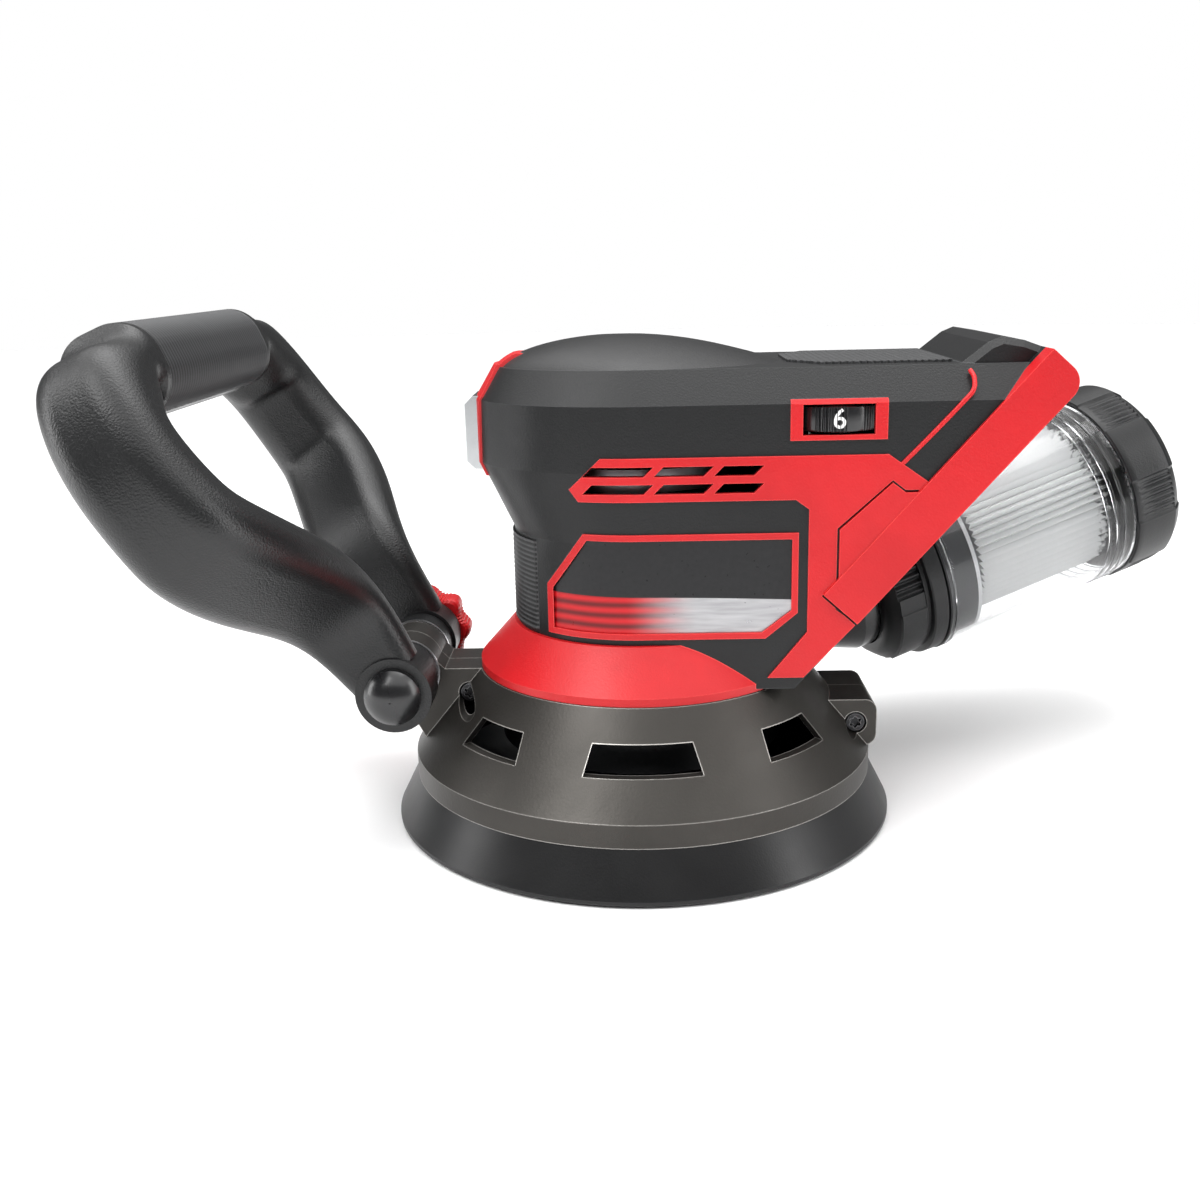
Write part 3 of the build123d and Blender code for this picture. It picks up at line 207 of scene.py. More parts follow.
def finish(tree, shader, colour, edge_shading_colour, roughness, grain_size, grain_depth,
           edge_shading_strength, breakup=MOULDED_BREAKUP):
    """The common finish: a painted highlight along edges (painted shade where the edge colour is darker),
    soft patches, and grain in the normal.
    """
    edges = placed(tree, EDGE_SHADING, Strength=edge_shading_strength, Breakup=breakup).outputs["Mask"]
    patches = placed(tree, HANDLING).outputs["Patches"]
    base = colour
    if isinstance(colour, tuple):
        base = mix_colour(tree, patches, colour, tuple(channel * (1.0 - PATCH_SHADE) for channel in colour))
    # Edges take the edge colour: a painted highlight, with some wear, where it is lighter than the base.
    tree.links.new(mix_colour(tree, edges, base, edge_shading_colour), shader.inputs["Base Color"])
    sheen = maths(tree, "MULTIPLY", patches, SHEEN_SPREAD)
    tree.links.new(maths(tree, "ADD", roughness - SHEEN_SPREAD / 2, sheen), shader.inputs["Roughness"])
    bump_from(tree, shader, placed(tree, GRAIN, Size=grain_size).outputs["Height"], 1.0, grain_depth)


def moulded(name, colour, edge_shading_colour, roughness, grain_size, grain_depth,
            edge_shading_strength, specular=0.5, coat=0.0):
    """A moulded plastic or rubber."""
    material, tree, shader = bare_material(name)
    shader.inputs["Specular IOR Level"].default_value = specular
    shader.inputs["Coat Weight"].default_value = coat
    shader.inputs["Coat Roughness"].default_value = 0.18
    finish(tree, shader, colour, edge_shading_colour, roughness, grain_size, grain_depth, edge_shading_strength)
    return material


def metal(name, colour, edge_shading_colour, roughness, grain_size, grain_depth, metallic, edge_shading_strength):
    """A bare or thinly coated metal."""
    material, tree, shader = bare_material(name)
    shader.inputs["Metallic"].default_value = metallic
    finish(tree, shader, colour, edge_shading_colour, roughness, grain_size, grain_depth, edge_shading_strength,
           METAL_BREAKUP)
    return material


def clear_plastic(name):
    """The canister's clear plastic."""
    material, tree, shader = bare_material(name)
    shader.inputs["Base Color"].default_value = (0.90, 0.905, 0.91, 1.0)
    shader.inputs["Transmission Weight"].default_value = 1.0
    shader.inputs["IOR"].default_value = 1.3
    marks = placed(tree, HANDLING, Scale=60.0).outputs["Patches"]
    rough = maths(tree, "ADD", 0.015, maths(tree, "MULTIPLY", marks, 0.05))
    tree.links.new(rough, shader.inputs["Roughness"])
    return material


def dimpled(name, colour):
    """The rear grip's rubber: close rows of scale-like dimples, with painted shade in the crevices between
    them.
    """
    material, tree, shader = bare_material(name)
    coords = node(tree, "ShaderNodeTexCoord")
    cells = node(tree, "ShaderNodeTexVoronoi", feature="DISTANCE_TO_EDGE",
                 values={"Scale": 480.0, "Randomness": 0.12})
    tree.links.new(coords.outputs["Object"], cells.inputs["Vector"])
    dome = smooth_step(tree, cells.outputs["Distance"], 0.0, 0.32)
    edges = placed(tree, EDGE_SHADING, Strength=4.0).outputs["Mask"]
    # Half as bright where the dimples meet: painted shade in the crevices between them.
    base = mix_colour(tree, dome, tuple(0.5 * channel for channel in colour), colour)
    # The grip's edges get a lighter colour: a painted highlight.
    tree.links.new(mix_colour(tree, edges, base, (0.10, 0.10, 0.105)), shader.inputs["Base Color"])
    sheen = maths(tree, "MULTIPLY", placed(tree, HANDLING).outputs["Patches"], 0.12)
    tree.links.new(maths(tree, "ADD", 0.46, sheen), shader.inputs["Roughness"])
    bump_from(tree, shader, dome, 1.0, 0.35 * MM)
    return material


def ribbed_rubber(name, axis, start, pitch):
    """Rubber with fine ribs across an axis (0, 1 or 2), with painted shade in the valleys between them."""
    material, tree, shader = bare_material(name)
    shader.inputs["Specular IOR Level"].default_value = 0.45
    coords = node(tree, "ShaderNodeTexCoord")
    place = node(tree, "ShaderNodeSeparateXYZ")
    tree.links.new(coords.outputs["Object"], place.inputs[0])
    turn = maths(tree, "DIVIDE", maths(tree, "SUBTRACT", place.outputs[axis], start), pitch)
    from_valley = maths(tree, "ABSOLUTE", maths(tree, "SUBTRACT", maths(tree, "FRACT", turn), 0.5))
    crest = smooth_step(tree, from_valley, 0.14, 0.44)
    # Near black in the valleys: painted shade between the ribs. The edge colour after it is a painted
    # highlight.
    base = mix_colour(tree, crest, (0.0012, 0.0012, 0.0014), (0.052, 0.053, 0.055))
    finish(tree, shader, base, (0.05, 0.051, 0.053), 0.50, 0.45 * MM, 0.03 * MM, 1.5)
    return material


def label_print(name):
    """The side label: black above, and a band below that runs from streaked red to brushed silver."""
    low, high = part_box("label_plates")
    material, tree, shader = bare_material(name)
    coords = node(tree, "ShaderNodeTexCoord")
    place = node(tree, "ShaderNodeSeparateXYZ")
    tree.links.new(coords.outputs["Object"], place.inputs[0])
    along = maths(tree, "DIVIDE", maths(tree, "SUBTRACT", place.outputs[0], low[0]), high[0] - low[0])
    up = maths(tree, "DIVIDE", maths(tree, "SUBTRACT", place.outputs[2], low[2]), high[2] - low[2])
    bow = maths(tree, "MULTIPLY", maths(tree, "POWER", along, 2.0), 0.05)
    line = maths(tree, "SUBTRACT", maths(tree, "ADD", up, bow), 0.40)
    band = smooth_step(tree, line, 0.004, -0.004)
    streaks = node(tree, "ShaderNodeTexWave", bands_direction="Z",
                   values={"Scale": 95.0, "Distortion": 0.7, "Detail": 1.5})
    stretch = node(tree, "ShaderNodeMapping")
    stretch.inputs["Scale"].default_value = (0.10, 1.0, 1.0)
    stretch.inputs["Rotation"].default_value = (0.0, 0.035, 0.0)
    tree.links.new(coords.outputs["Object"], stretch.inputs["Vector"])
    tree.links.new(stretch.outputs[0], streaks.inputs["Vector"])
    red = mix_colour(tree, streaks.outputs["Fac"], (0.13, 0.003, 0.005), (0.56, 0.010, 0.015))
    brushed = node(tree, "ShaderNodeTexNoise", values={"Scale": 900.0, "Detail": 2.0})
    tree.links.new(stretch.outputs[0], brushed.inputs["Vector"])
    silver = mix_colour(tree, brushed.outputs[0], (0.24, 0.24, 0.25), (0.52, 0.52, 0.53))
    fade = smooth_step(tree, along, 0.30, 0.62)
    lower = mix_colour(tree, fade, red, silver)
    speck = node(tree, "ShaderNodeTexNoise", values={"Scale": 700.0, "Detail": 3.0})
    tree.links.new(coords.outputs["Object"], speck.inputs["Vector"])
    upper = mix_colour(tree, speck.outputs[0], (0.006, 0.006, 0.007), (0.016, 0.016, 0.017))
    shader.inputs["Specular IOR Level"].default_value = 0.3
    tree.links.new(mix_colour(tree, band, upper, lower), shader.inputs["Base Color"])
    sheen = maths(tree, "MULTIPLY", speck.outputs[0], 0.12)
    tree.links.new(maths(tree, "ADD", 0.24, sheen), shader.inputs["Roughness"])
    metal_band = maths(tree, "MULTIPLY", maths(tree, "MULTIPLY", band, fade), 0.55)
    tree.links.new(metal_band, shader.inputs["Metallic"])
    bump_from(tree, shader, brushed.outputs[0], 0.5, 0.02 * MM)
    return material


def filter_paper(name, axis, middle, half_length):
    """Pale pleated paper, dark where it is potted at the cap's end."""
    material, tree, shader = bare_material(name)
    coords = node(tree, "ShaderNodeTexCoord")
    dot = node(tree, "ShaderNodeVectorMath", operation="DOT_PRODUCT")
    tree.links.new(coords.outputs["Object"], dot.inputs[0])
    dot.inputs[1].default_value = axis
    from_middle = maths(tree, "SUBTRACT", dot.outputs["Value"], middle.dot(axis))
    fibres = node(tree, "ShaderNodeTexNoise", values={"Scale": 1100.0, "Detail": 4.0, "Roughness": 0.7})
    tree.links.new(coords.outputs["Object"], fibres.inputs["Vector"])
    jagged = node(tree, "ShaderNodeTexNoise", values={"Scale": 420.0, "Detail": 2.0})
    tree.links.new(coords.outputs["Object"], jagged.inputs["Vector"])
    teeth = maths(tree, "MULTIPLY", maths(tree, "SUBTRACT", jagged.outputs[0], 0.5), 16 * MM)
    reach = maths(tree, "ADD", from_middle, teeth)
    potted = smooth_step(tree, reach, half_length - 6.5 * MM, half_length - 2.5 * MM)
    paper = mix_colour(tree, fibres.outputs[0], (0.80, 0.81, 0.81), (0.95, 0.955, 0.95))
    tree.links.new(mix_colour(tree, potted, paper, (0.05, 0.05, 0.055)), shader.inputs["Base Color"])
    shader.inputs["Roughness"].default_value = 0.85
    shader.inputs["Specular IOR Level"].default_value = 0.25
    bump_from(tree, shader, fibres.outputs[0], 0.6, 0.05 * MM)
    return material


# ---------------------------------------------------------------- materials
CAN_AXIS = Vector(JOINTS["canister_pull"]["axis"]).normalized()
PORT_END = Vector(MOUNTS["dust_port"]["pos_m"])
PORT_END_T = -9 * MM        # where the port ends, counted from the coupling's rim
CAN_RIM = PORT_END - CAN_AXIS * PORT_END_T

# The second colour of each finish is its edge colour, a painted highlight along its edges, partly wear.
BODY = moulded("charcoal_body", CHARCOAL, (0.075, 0.077, 0.08), 0.42, 0.60 * MM, 0.055 * MM, 3.0, 0.34)
# The handle's edge colour is darker than its own: painted shade along its edges and in the seam between its
# shells.
PEBBLED = moulded("pebbled_handle", HANDLE_BLACK, (0.0025, 0.0025, 0.003), 0.38, 0.62 * MM, 0.12 * MM,
                  5.0, 0.45)
RED = moulded("red_moulding", SIGNAL_RED, (1.0, 0.10, 0.09), 0.38, 0.65 * MM, 0.060 * MM, 3.0, 0.36)
SHROUD = metal("gunmetal_casting", GUNMETAL, (0.55, 0.53, 0.50), 0.40, 0.9 * MM, 0.035 * MM, 0.72, 7.0)
SKIRT = moulded("skirt_rubber", (0.0060, 0.0060, 0.0065), (0.06, 0.06, 0.062), 0.38, 0.6 * MM, 0.020 * MM,
                3.0, 0.36)
CHROME = metal("chrome_trim", (0.50, 0.51, 0.52), (0.9, 0.9, 0.9), 0.14, 2.0 * MM, 0.004 * MM, 1.0, 2.0)
GLOSS = moulded("gloss_black", (0.009, 0.009, 0.010), (0.06, 0.06, 0.062), 0.26, 0.9 * MM, 0.010 * MM,
                3.0, coat=0.25)
DIMPLED = dimpled("dimpled_grip", (0.045, 0.046, 0.048))
LABEL = label_print("side_label")
SCREW = metal("black_screw", (0.035, 0.035, 0.037), (0.28, 0.28, 0.29), 0.36, 0.4 * MM, 0.012 * MM, 0.8, 6.0)
STEEL = metal("turned_steel", (0.55, 0.55, 0.57), (0.85, 0.85, 0.86), 0.28, 0.35 * MM, 0.006 * MM, 1.0, 4.0)
LAMINATED = metal("stacked_laminations", (0.30, 0.31, 0.33), (0.6, 0.6, 0.62), 0.42, 0.5 * MM, 0.03 * MM,
                  0.9, 4.0)
COPPER = metal("enamelled_copper", (0.62, 0.24, 0.10), (0.85, 0.5, 0.3), 0.32, 0.45 * MM, 0.05 * MM, 0.9, 3.0)
CAST = metal("cast_aluminium", (0.46, 0.46, 0.48), (0.75, 0.75, 0.76), 0.46, 0.9 * MM, 0.04 * MM, 0.95, 4.0)
GREY = moulded("grey_moulding", (0.055, 0.056, 0.06), (0.14, 0.14, 0.145), 0.50, 0.7 * MM, 0.02 * MM, 3.0)
FOAM = moulded("pad_foam", (0.075, 0.076, 0.08), (0.12, 0.12, 0.125), 0.85, 1.2 * MM, 0.25 * MM, 1.0, 0.2)
HOOKS = moulded("hook_face", (0.03, 0.03, 0.033), (0.08, 0.08, 0.085), 0.9, 0.8 * MM, 0.45 * MM, 1.0, 0.2)
CLEAR = clear_plastic("clear_canister")
PALE_SEAL = moulded("pale_seal", (0.75, 0.76, 0.77), (0.95, 0.95, 0.95), 0.30, 0.8 * MM, 0.01 * MM, 1.0)
BOARD = moulded("circuit_board", (0.018, 0.085, 0.035), (0.10, 0.25, 0.12), 0.34, 1.5 * MM, 0.04 * MM, 2.0)
CONTACT = metal("plated_contact", (0.80, 0.60, 0.26), (0.95, 0.8, 0.45), 0.22, 0.5 * MM, 0.006 * MM, 1.0, 3.0)
DIGIT_WHITE = moulded("digit_white", (0.88, 0.88, 0.87), (0.95, 0.95, 0.95), 0.40, 0.6 * MM, 0.008 * MM, 1.0)

NODE_FINISH = {
    "housing_near": BODY, "housing_far": BODY, "dock_tray": BODY, "battery_rails": BODY,
    "side_frames": RED, "label_frames": RED, "dial_bezel": RED, "switch_trim": RED, "collar": RED,
    "dock_cheeks": RED, "label_plates": LABEL, "switch_bezel": CHROME, "rocker_switch": GLOSS,
    "top_grip": DIMPLED, "switch_block": GLOSS, "dial_potentiometer": GLOSS, "terminal_block": GLOSS,
    "controller_board": BOARD, "battery_terminals": CONTACT, "housing_screws": SCREW,
    "stator": LAMINATED, "stator_windings": COPPER, "motor_plate": CAST, "upper_bracket": CAST,
    "lower_bearing": STEEL, "upper_bearing": STEEL, "motor_shaft": STEEL, "magnet_rotor": STEEL,
    "cooling_fan": GREY, "dust_fan": GREY, "eccentric": CAST, "pad_bearing": STEEL, "pad_screws": SCREW,
    "pad_hook_face": HOOKS, "pad_foam": FOAM, "pad_plate": GREY, "dust_chamber": GREY, "dust_port": GLOSS,
    "canister_tube": CLEAR, "canister_adapter": GREY, "coupling_seal": PALE_SEAL, "cap_seal": PALE_SEAL,
    "filter_cage": GREY, "shroud_near": SHROUD, "shroud_far": SHROUD, "skirt": SKIRT,
    "handle_upper_shell": PEBBLED, "handle_lower_shell": PEBBLED, "pivot_washers": STEEL,
    "pivot_bolt": STEEL, "pivot_cap": GLOSS,
}


def dress(name, material):
    """Give a CAD node its finish."""
    obj = frame["nodes"][name]
    if not obj.data.materials:
        obj.data.materials.append(material)
    for index in range(len(obj.material_slots)):
        obj.material_slots[index].material = material


for node_name, node_material in NODE_FINISH.items():
    dress(node_name, node_material)


# ---------------------------------------------------------------- mesh helpers
def new_piece(name, mesh_builder, material, body, smooth_deg):
    """Turn a filled bmesh into a piece of the tool that rides on a body."""
    mesh = bpy.data.meshes.new(name)
    bmesh.ops.recalc_face_normals(mesh_builder, faces=mesh_builder.faces)
    mesh_builder.to_mesh(mesh)
    mesh_builder.free()
    piece = bpy.data.objects.new(name, mesh)
    bpy.context.scene.collection.objects.link(piece)
    mesh.materials.append(material)
    mesh.shade_smooth()
    mesh.set_sharp_from_angle(angle=radians(smooth_deg))
    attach(piece, body)
    return piece


FINE = 720      # vertices round a form that carries fine grooves


def join_rings(build, lower, upper):
    """A band of faces between two rings of as many vertices."""
    for k, vert in enumerate(lower):
        m = (k + 1) % len(lower)
        build.faces.new((vert, lower[m], upper[m], upper[k]))


def add_lathe(build, place, profile, count, radius_at=None):
    """Add a turned form about a placed Z axis. profile is (radius, height) pairs from one end to the other.

    radius_at(radius, height, angle) may vary the radius round the form."""
    rings = []
    for radius, height in profile:
        ring = []
        for k in range(count):
            angle = 2 * pi * k / count
            r = radius_at(radius, height, angle) if radius_at else radius
            ring.append(build.verts.new(place @ Vector((r * cos(angle), r * sin(angle), height))))
        rings.append(ring)
    for lower, upper in zip(rings, rings[1:]):
        join_rings(build, lower, upper)
    return rings


def cap_ring(build, ring):
    """Close a ring of vertices with a fan to its middle."""
    middle = build.verts.new(sum((v.co for v in ring), Vector()) / len(ring))
    for k, vert in enumerate(ring):
        build.faces.new((vert, ring[(k + 1) % len(ring)], middle))


def axis_place(origin, axis):
    """A place whose Z runs along an axis and whose X is as near to straight up as it can be."""
    z = Vector(axis).normalized()
    y = z.cross(Vector((0, 0, 1))).normalized()
    x = y.cross(z)
    rotation = Matrix((x, y, z)).transposed().to_4x4()
    return Matrix.Translation(Vector(origin)) @ rotation


def steps(first, last, count):
    """Evenly spaced values, ends included."""
    return [first + (last - first) * k / (count - 1) for k in range(count)]


def add_tube(build, points, radius, sides):
    """Add a thin round bead along a line of points."""
    rings = []
    for k, point in enumerate(points):
        along = (points[min(k + 1, len(points) - 1)] - points[max(k - 1, 0)]).normalized()
        side = along.cross(Vector((0, 0, 1))).normalized()
        other = along.cross(side)
        turns = [2 * pi * j / sides for j in range(sides)]
        rings.append([build.verts.new(point + radius * (side * cos(t) + other * sin(t))) for t in turns])
    for lower, upper in zip(rings, rings[1:]):
        join_rings(build, lower, upper)
    cap_ring(build, rings[0])
    cap_ring(build, rings[-1])


FACES_OUT = -0.45       # a vertex sinks only where its normal points this squarely away from inward


def ribbed_copy(node_name, name, axis, pitch, depth, inward, margin, body):
    """A copy of a CAD skin with ribs cut across it.

    Rows are cut at every half pitch, and every other one is sunk along inward(point)."""
    low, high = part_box(node_name)
    build = bmesh.new()
    build.from_mesh(frame["nodes"][node_name].data)
    bmesh.ops.remove_doubles(build, verts=build.verts, dist=0.001 * MM)
    start, end = low[axis] + margin, high[axis] - margin
    rows = 2 * int((end - start) / pitch)
    step = (end - start) / rows
    normal = Vector((0, 0, 0))
    normal[axis] = 1.0
    for k in range(rows + 1):
        point = Vector((0, 0, 0))
        point[axis] = start + k * step
        everything = list(build.verts) + list(build.edges) + list(build.faces)
        bmesh.ops.bisect_plane(build, geom=everything, plane_co=point, plane_no=normal, dist=0.0005 * MM)
    build.normal_update()
    moves = []
    for vert in build.verts:
        row = (vert.co[axis] - start) / step
        near_row = round(row)
        if abs(row - near_row) > 0.02 or near_row % 2 == 0 or not 0 < near_row < rows:
            continue
        sink = inward(vert.co)
        if vert.normal.dot(sink) < FACES_OUT:
            moves.append((vert, sink * depth))
    for vert, move in moves:
        vert.co += move
    rubber = ribbed_rubber(name + "_rubber", axis, start, 2 * step)
    piece = new_piece(name, build, rubber, body, 20.0)
    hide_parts(node_name)


# ---------------------------------------------------------------- grips
NECK_RIB_PITCH, NECK_RIB_DEPTH, NECK_MARGIN = 1.5 * MM, 0.6 * MM, 0.6 * MM
GRIP_RIB_PITCH, GRIP_RIB_DEPTH, GRIP_MARGIN = 2.2 * MM, 0.75 * MM, 1.2 * MM


def make_grips():
    """Ribs on the neck's front and round the front handle's grip."""
    low_rear, high_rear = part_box("grip_rubber_rear")
    low_front, high_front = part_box("grip_rubber_front")
    centre_x = (low_front[0] + high_rear[0]) / 2
    centre_z = (low_rear[2] + high_rear[2] + low_front[2] + high_front[2]) / 4

    def to_motor_axis(point):
        return Vector((-point.x, -point.y, 0)).normalized()

    def to_grip_axis(point):
        return Vector((centre_x - point.x, 0, centre_z - point.z)).normalized()

    ribbed_copy("neck_grip", "neck_ribs", 2, NECK_RIB_PITCH, NECK_RIB_DEPTH,
                to_motor_axis, NECK_MARGIN, "tool")
    for node_name, name in (("grip_rubber_rear", "grip_ribs_rear"), ("grip_rubber_front", "grip_ribs_front")):
        ribbed_copy(node_name, name, 1, GRIP_RIB_PITCH, GRIP_RIB_DEPTH,
                    to_grip_axis, GRIP_MARGIN, "handle")


# ---------------------------------------------------------------- speed dial
DIAL_STEPS = 6
DIAL_STEP_DEG = 54.0
DIAL_FLAT_DEG = 9.5         # half the width of a digit's smooth flat
DIAL_FLAT_SINK = 0.35 * MM
DIAL_RIB_DEPTH = 0.65 * MM
DIAL_RIBS = 96              # as many as would fill the whole rim
DIAL_BORE_R = 2.6 * MM


def make_dial():
    """The dial's wheel with fine ribs between its numbered flats, and its digits."""
    low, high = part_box("dial_wheel")
    centre = Vector(((low[0] + high[0]) / 2, (low[1] + high[1]) / 2, (low[2] + high[2]) / 2))
    outer = (high[0] - low[0]) / 2
    half_t = (high[2] - low[2]) / 2

    def rim(radius, height, angle):
        if radius < outer * 0.7:
            return radius
        turn = (angle + pi / 2) % radians(DIAL_STEP_DEG)
        from_flat = min(turn, radians(DIAL_STEP_DEG) - turn)
        if from_flat < radians(DIAL_FLAT_DEG):
            return radius - DIAL_FLAT_SINK
        return radius - DIAL_RIB_DEPTH * (0.5 + 0.5 * cos(from_flat * DIAL_RIBS))

    build = bmesh.new()
    below = [(DIAL_BORE_R, -half_t), (outer - 1.2 * MM, -half_t), (outer - 0.2 * MM, -half_t + 0.5 * MM),
             (outer, -half_t + 1.2 * MM)]
    profile = below + [(radius, -height) for radius, height in reversed(below)]
    rings = add_lathe(build, Matrix.Translation(centre), profile, FINE, rim)
    join_rings(build, rings[-1], rings[0])
    wheel = new_piece("dial_wheel_ribbed", build, GLOSS, "dial", 30.0)
    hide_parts("dial_wheel")
    for k in range(DIAL_STEPS):
        digit = bpy.data.curves.new(f"digit_{k + 1}_outline", "FONT")
        digit.body = str(k + 1)
        digit.size = 8.2 * MM
        digit.align_x = "CENTER"
        digit.align_y = "CENTER"
        digit.extrude = 0.25 * MM
        digit.offset = 0.06 * MM
        flat = bpy.data.objects.new(f"digit_{k + 1}_flat", digit)
        bpy.context.scene.collection.objects.link(flat)
        bpy.context.view_layer.update()
        shown = flat.evaluated_get(bpy.context.evaluated_depsgraph_get())
        mesh = bpy.data.meshes.new_from_object(shown)
        bpy.data.objects.remove(flat)
        piece = bpy.data.objects.new(f"dial_digit_{k + 1}", mesh)
        bpy.context.scene.collection.objects.link(piece)
        turn = radians(DIAL_STEP_DEG) * (k + 1 - DIAL_STEPS)
        on_flat = Matrix.Translation((0, DIAL_FLAT_SINK - outer, 0)) @ Matrix.Rotation(radians(90), 4, "X")
        mesh.transform(Matrix.Translation(centre) @ Matrix.Rotation(-turn, 4, "Z") @ on_flat)
        mesh.materials.clear()
        mesh.materials.append(DIGIT_WHITE)
        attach(piece, "dial")


# ---------------------------------------------------------------- canister
CAN_PLACE = axis_place(CAN_RIM, CAN_AXIS)       # heights run from the coupling's rim towards the cap
CAN_R = 36 * MM
CAN_LEN = 80 * MM
CAP_R = 37.6 * MM
CAP_LEN = 21 * MM
CAP_PADS = 6
CAP_GROUP_DEG = 11          # half the width of a group of grooves
CAP_GROOVE_DEG = 3.3
CAP_GROOVE_DEPTH = 0.9 * MM
CAP_GROUP_PROUD = 0.5 * MM
COUPLING_BACK = -24 * MM
COUPLING_FIN_DEG = 5.2
FILTER_R = 28.5 * MM
FILTER_CORE_R = 18.2 * MM
FILTER_PLEATS = 60
FILTER_PLEAT_DEPTH = 3.2 * MM
FILTER_SPAN = (18.5 * MM, CAN_LEN - 3 * MM)


def lobe(angle, count, width_deg, soft_deg, phase_deg=0.0):
    """1 on evenly spaced pads round a form and 0 between them, with soft flanks."""
    pitch = 2 * pi / count
    turn = (angle - radians(phase_deg)) % pitch
    off = min(turn, pitch - turn)
    edge = radians(width_deg) / 2
    return min(1.0, max(0.0, (edge + radians(soft_deg) - off) / radians(soft_deg)))


def make_end_cap():
    """The canister's screw cap: smooth raised pads with groups of grooves between them."""
    start, end = CAN_LEN + 0.3 * MM, CAN_LEN + CAP_LEN
    group_pitch = 2 * pi / CAP_PADS

    def skin(radius, height, angle):
        if radius < CAN_R - 6 * MM:
            return radius
        pad = lobe(angle, CAP_PADS, 33, 1.2)
        off = abs(((angle + group_pitch / 2) % group_pitch) - group_pitch / 2)
        away = group_pitch / 2 - off
        if not start + 3 * MM < height < end - 4 * MM:
            return radius - 0.75 * MM * (1 - pad)
        radius -= 1.3 * MM * (1 - pad)
        if away < radians(CAP_GROUP_DEG):
            wave = 0.5 + 0.5 * cos(away * 2 * pi / radians(CAP_GROOVE_DEG))
            radius += CAP_GROUP_PROUD - CAP_GROOVE_DEPTH * wave
        return radius

    profile = [(CAP_R - 0.9 * MM, start), (CAP_R - 0.2 * MM, start + 0.5 * MM), (CAP_R, start + 1.2 * MM)]
    profile += [(CAP_R, h) for h in steps(start + 2.8 * MM, end - 6.2 * MM, 5)]
    stepped_end = ((0.2, 4.2), (0.5, 3.8), (0.7, 3.4), (2.9, 0.6), (3.6, 0), (6.5, 0), (7.2, 1.2))
    profile += [(CAP_R - inset * MM, end - back * MM) for inset, back in stepped_end]
    profile += [(6 * MM, end - 1.2 * MM)]
    build = bmesh.new()
    rings = add_lathe(build, CAN_PLACE, profile, FINE, skin)
    cap_ring(build, rings[-1])
    lip_r = CAN_R - 9 * MM
    lip = [(CAP_R - 0.9 * MM, start), (lip_r, start), (lip_r, start - 3.2 * MM)]
    inner = add_lathe(build, CAN_PLACE, lip, 180)
    cap_ring(build, inner[-1])
    piece = new_piece("end_cap_moulded", build, BODY, "cap", 28.0)
    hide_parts("end_cap")


def make_coupling():
    """The canister's coupling: a rounded shoulder, recessed fins and a rim."""
    def skin(radius, height, angle):
        if not (-19.5 * MM < height < -9 * MM):
            return radius
        finned = lobe(angle, 3, 44, 0.8, 70)
        wave = 0.5 + 0.5 * cos(angle * 2 * pi / radians(COUPLING_FIN_DEG))
        panel = lobe(angle, 3, 52, 1.0, 10)
        return radius - finned * (0.5 + 1.3 * wave) * MM + 0.6 * MM * panel

    shoulder = ((25.4, 0), (27.6, 0), (29.4, 0.8), (31.2, 2.6), (32.8, 4.4), (33.0, 4.6))
    rim = ((33.6, -8.9), (33.6, -7.6), (35.4, -7.2), (35.8, -6.6), (36.0, -1.6), (35.2, -1.4), (35.2, -1.0),
           (36.3, -0.8), (36.5, -0.2), (36.2, 0), (25.4, 0))
    profile = [(radius * MM, COUPLING_BACK + height * MM) for radius, height in shoulder]
    profile += [(33.3 * MM, h) for h in steps(-19.3 * MM, -9.2 * MM, 6)]
    profile += [(radius * MM, height * MM) for radius, height in rim]
    build = bmesh.new()
    rings = add_lathe(build, CAN_PLACE, profile, FINE, skin)
    join_rings(build, rings[-1], rings[0])
    piece = new_piece("coupling_moulded", build, BODY, "canister", 28.0)
    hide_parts("canister_coupling")


def make_filter():
    """The filter's fine pleats."""
    low_t, high_t = FILTER_SPAN
    middle = CAN_RIM + CAN_AXIS * (low_t + high_t) / 2
    paper = filter_paper("filter_paper", CAN_AXIS, middle, (high_t - low_t) / 2)

    def pleat(radius, height, angle):
        if radius < FILTER_R:
            return radius
        turn = (angle * FILTER_PLEATS / (2 * pi)) % 1.0
        return radius - FILTER_PLEAT_DEPTH * abs(2 * turn - 1) ** 0.8

    build = bmesh.new()
    profile = [(FILTER_CORE_R, low_t), (FILTER_R, low_t)]
    profile += [(FILTER_R, h) for h in steps(low_t + 1 * MM, high_t - 1 * MM, 6)]
    profile += [(FILTER_R, high_t), (FILTER_CORE_R, high_t)]
    rings = add_lathe(build, CAN_PLACE, profile, 8 * FILTER_PLEATS, pleat)
    join_rings(build, rings[-1], rings[0])
    piece = new_piece("filter_pleats", build, paper, "cap", 20.0)
    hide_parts("pleated_filter")


def make_tube_rings():
    """The raised rings that stiffen the clear tube at both of its rims."""
    section = ((-0.2, -0.7), (0.45, -0.45), (0.55, 0), (0.45, 0.45), (-0.2, 0.7))
    for name, heights in (("tube_rings_rear", (68.5, 72.0, 75.5)), ("tube_rings_front", (2.2,))):
        build = bmesh.new()
        for height in heights:
            bead = [(CAN_R + out * MM, (height + along) * MM) for out, along in section]
            rows = add_lathe(build, CAN_PLACE, bead, 180)
            join_rings(build, rows[-1], rows[0])
        new_piece(name, build, CLEAR, "canister", 40.0)


# ---------------------------------------------------------------- clamp knob and screws
KNOB_LOBES = 8
KNOB_RIBS = 72
KNOB_LOBE_DEPTH = 1.9 * MM
KNOB_RIB_DEPTH = 0.55 * MM


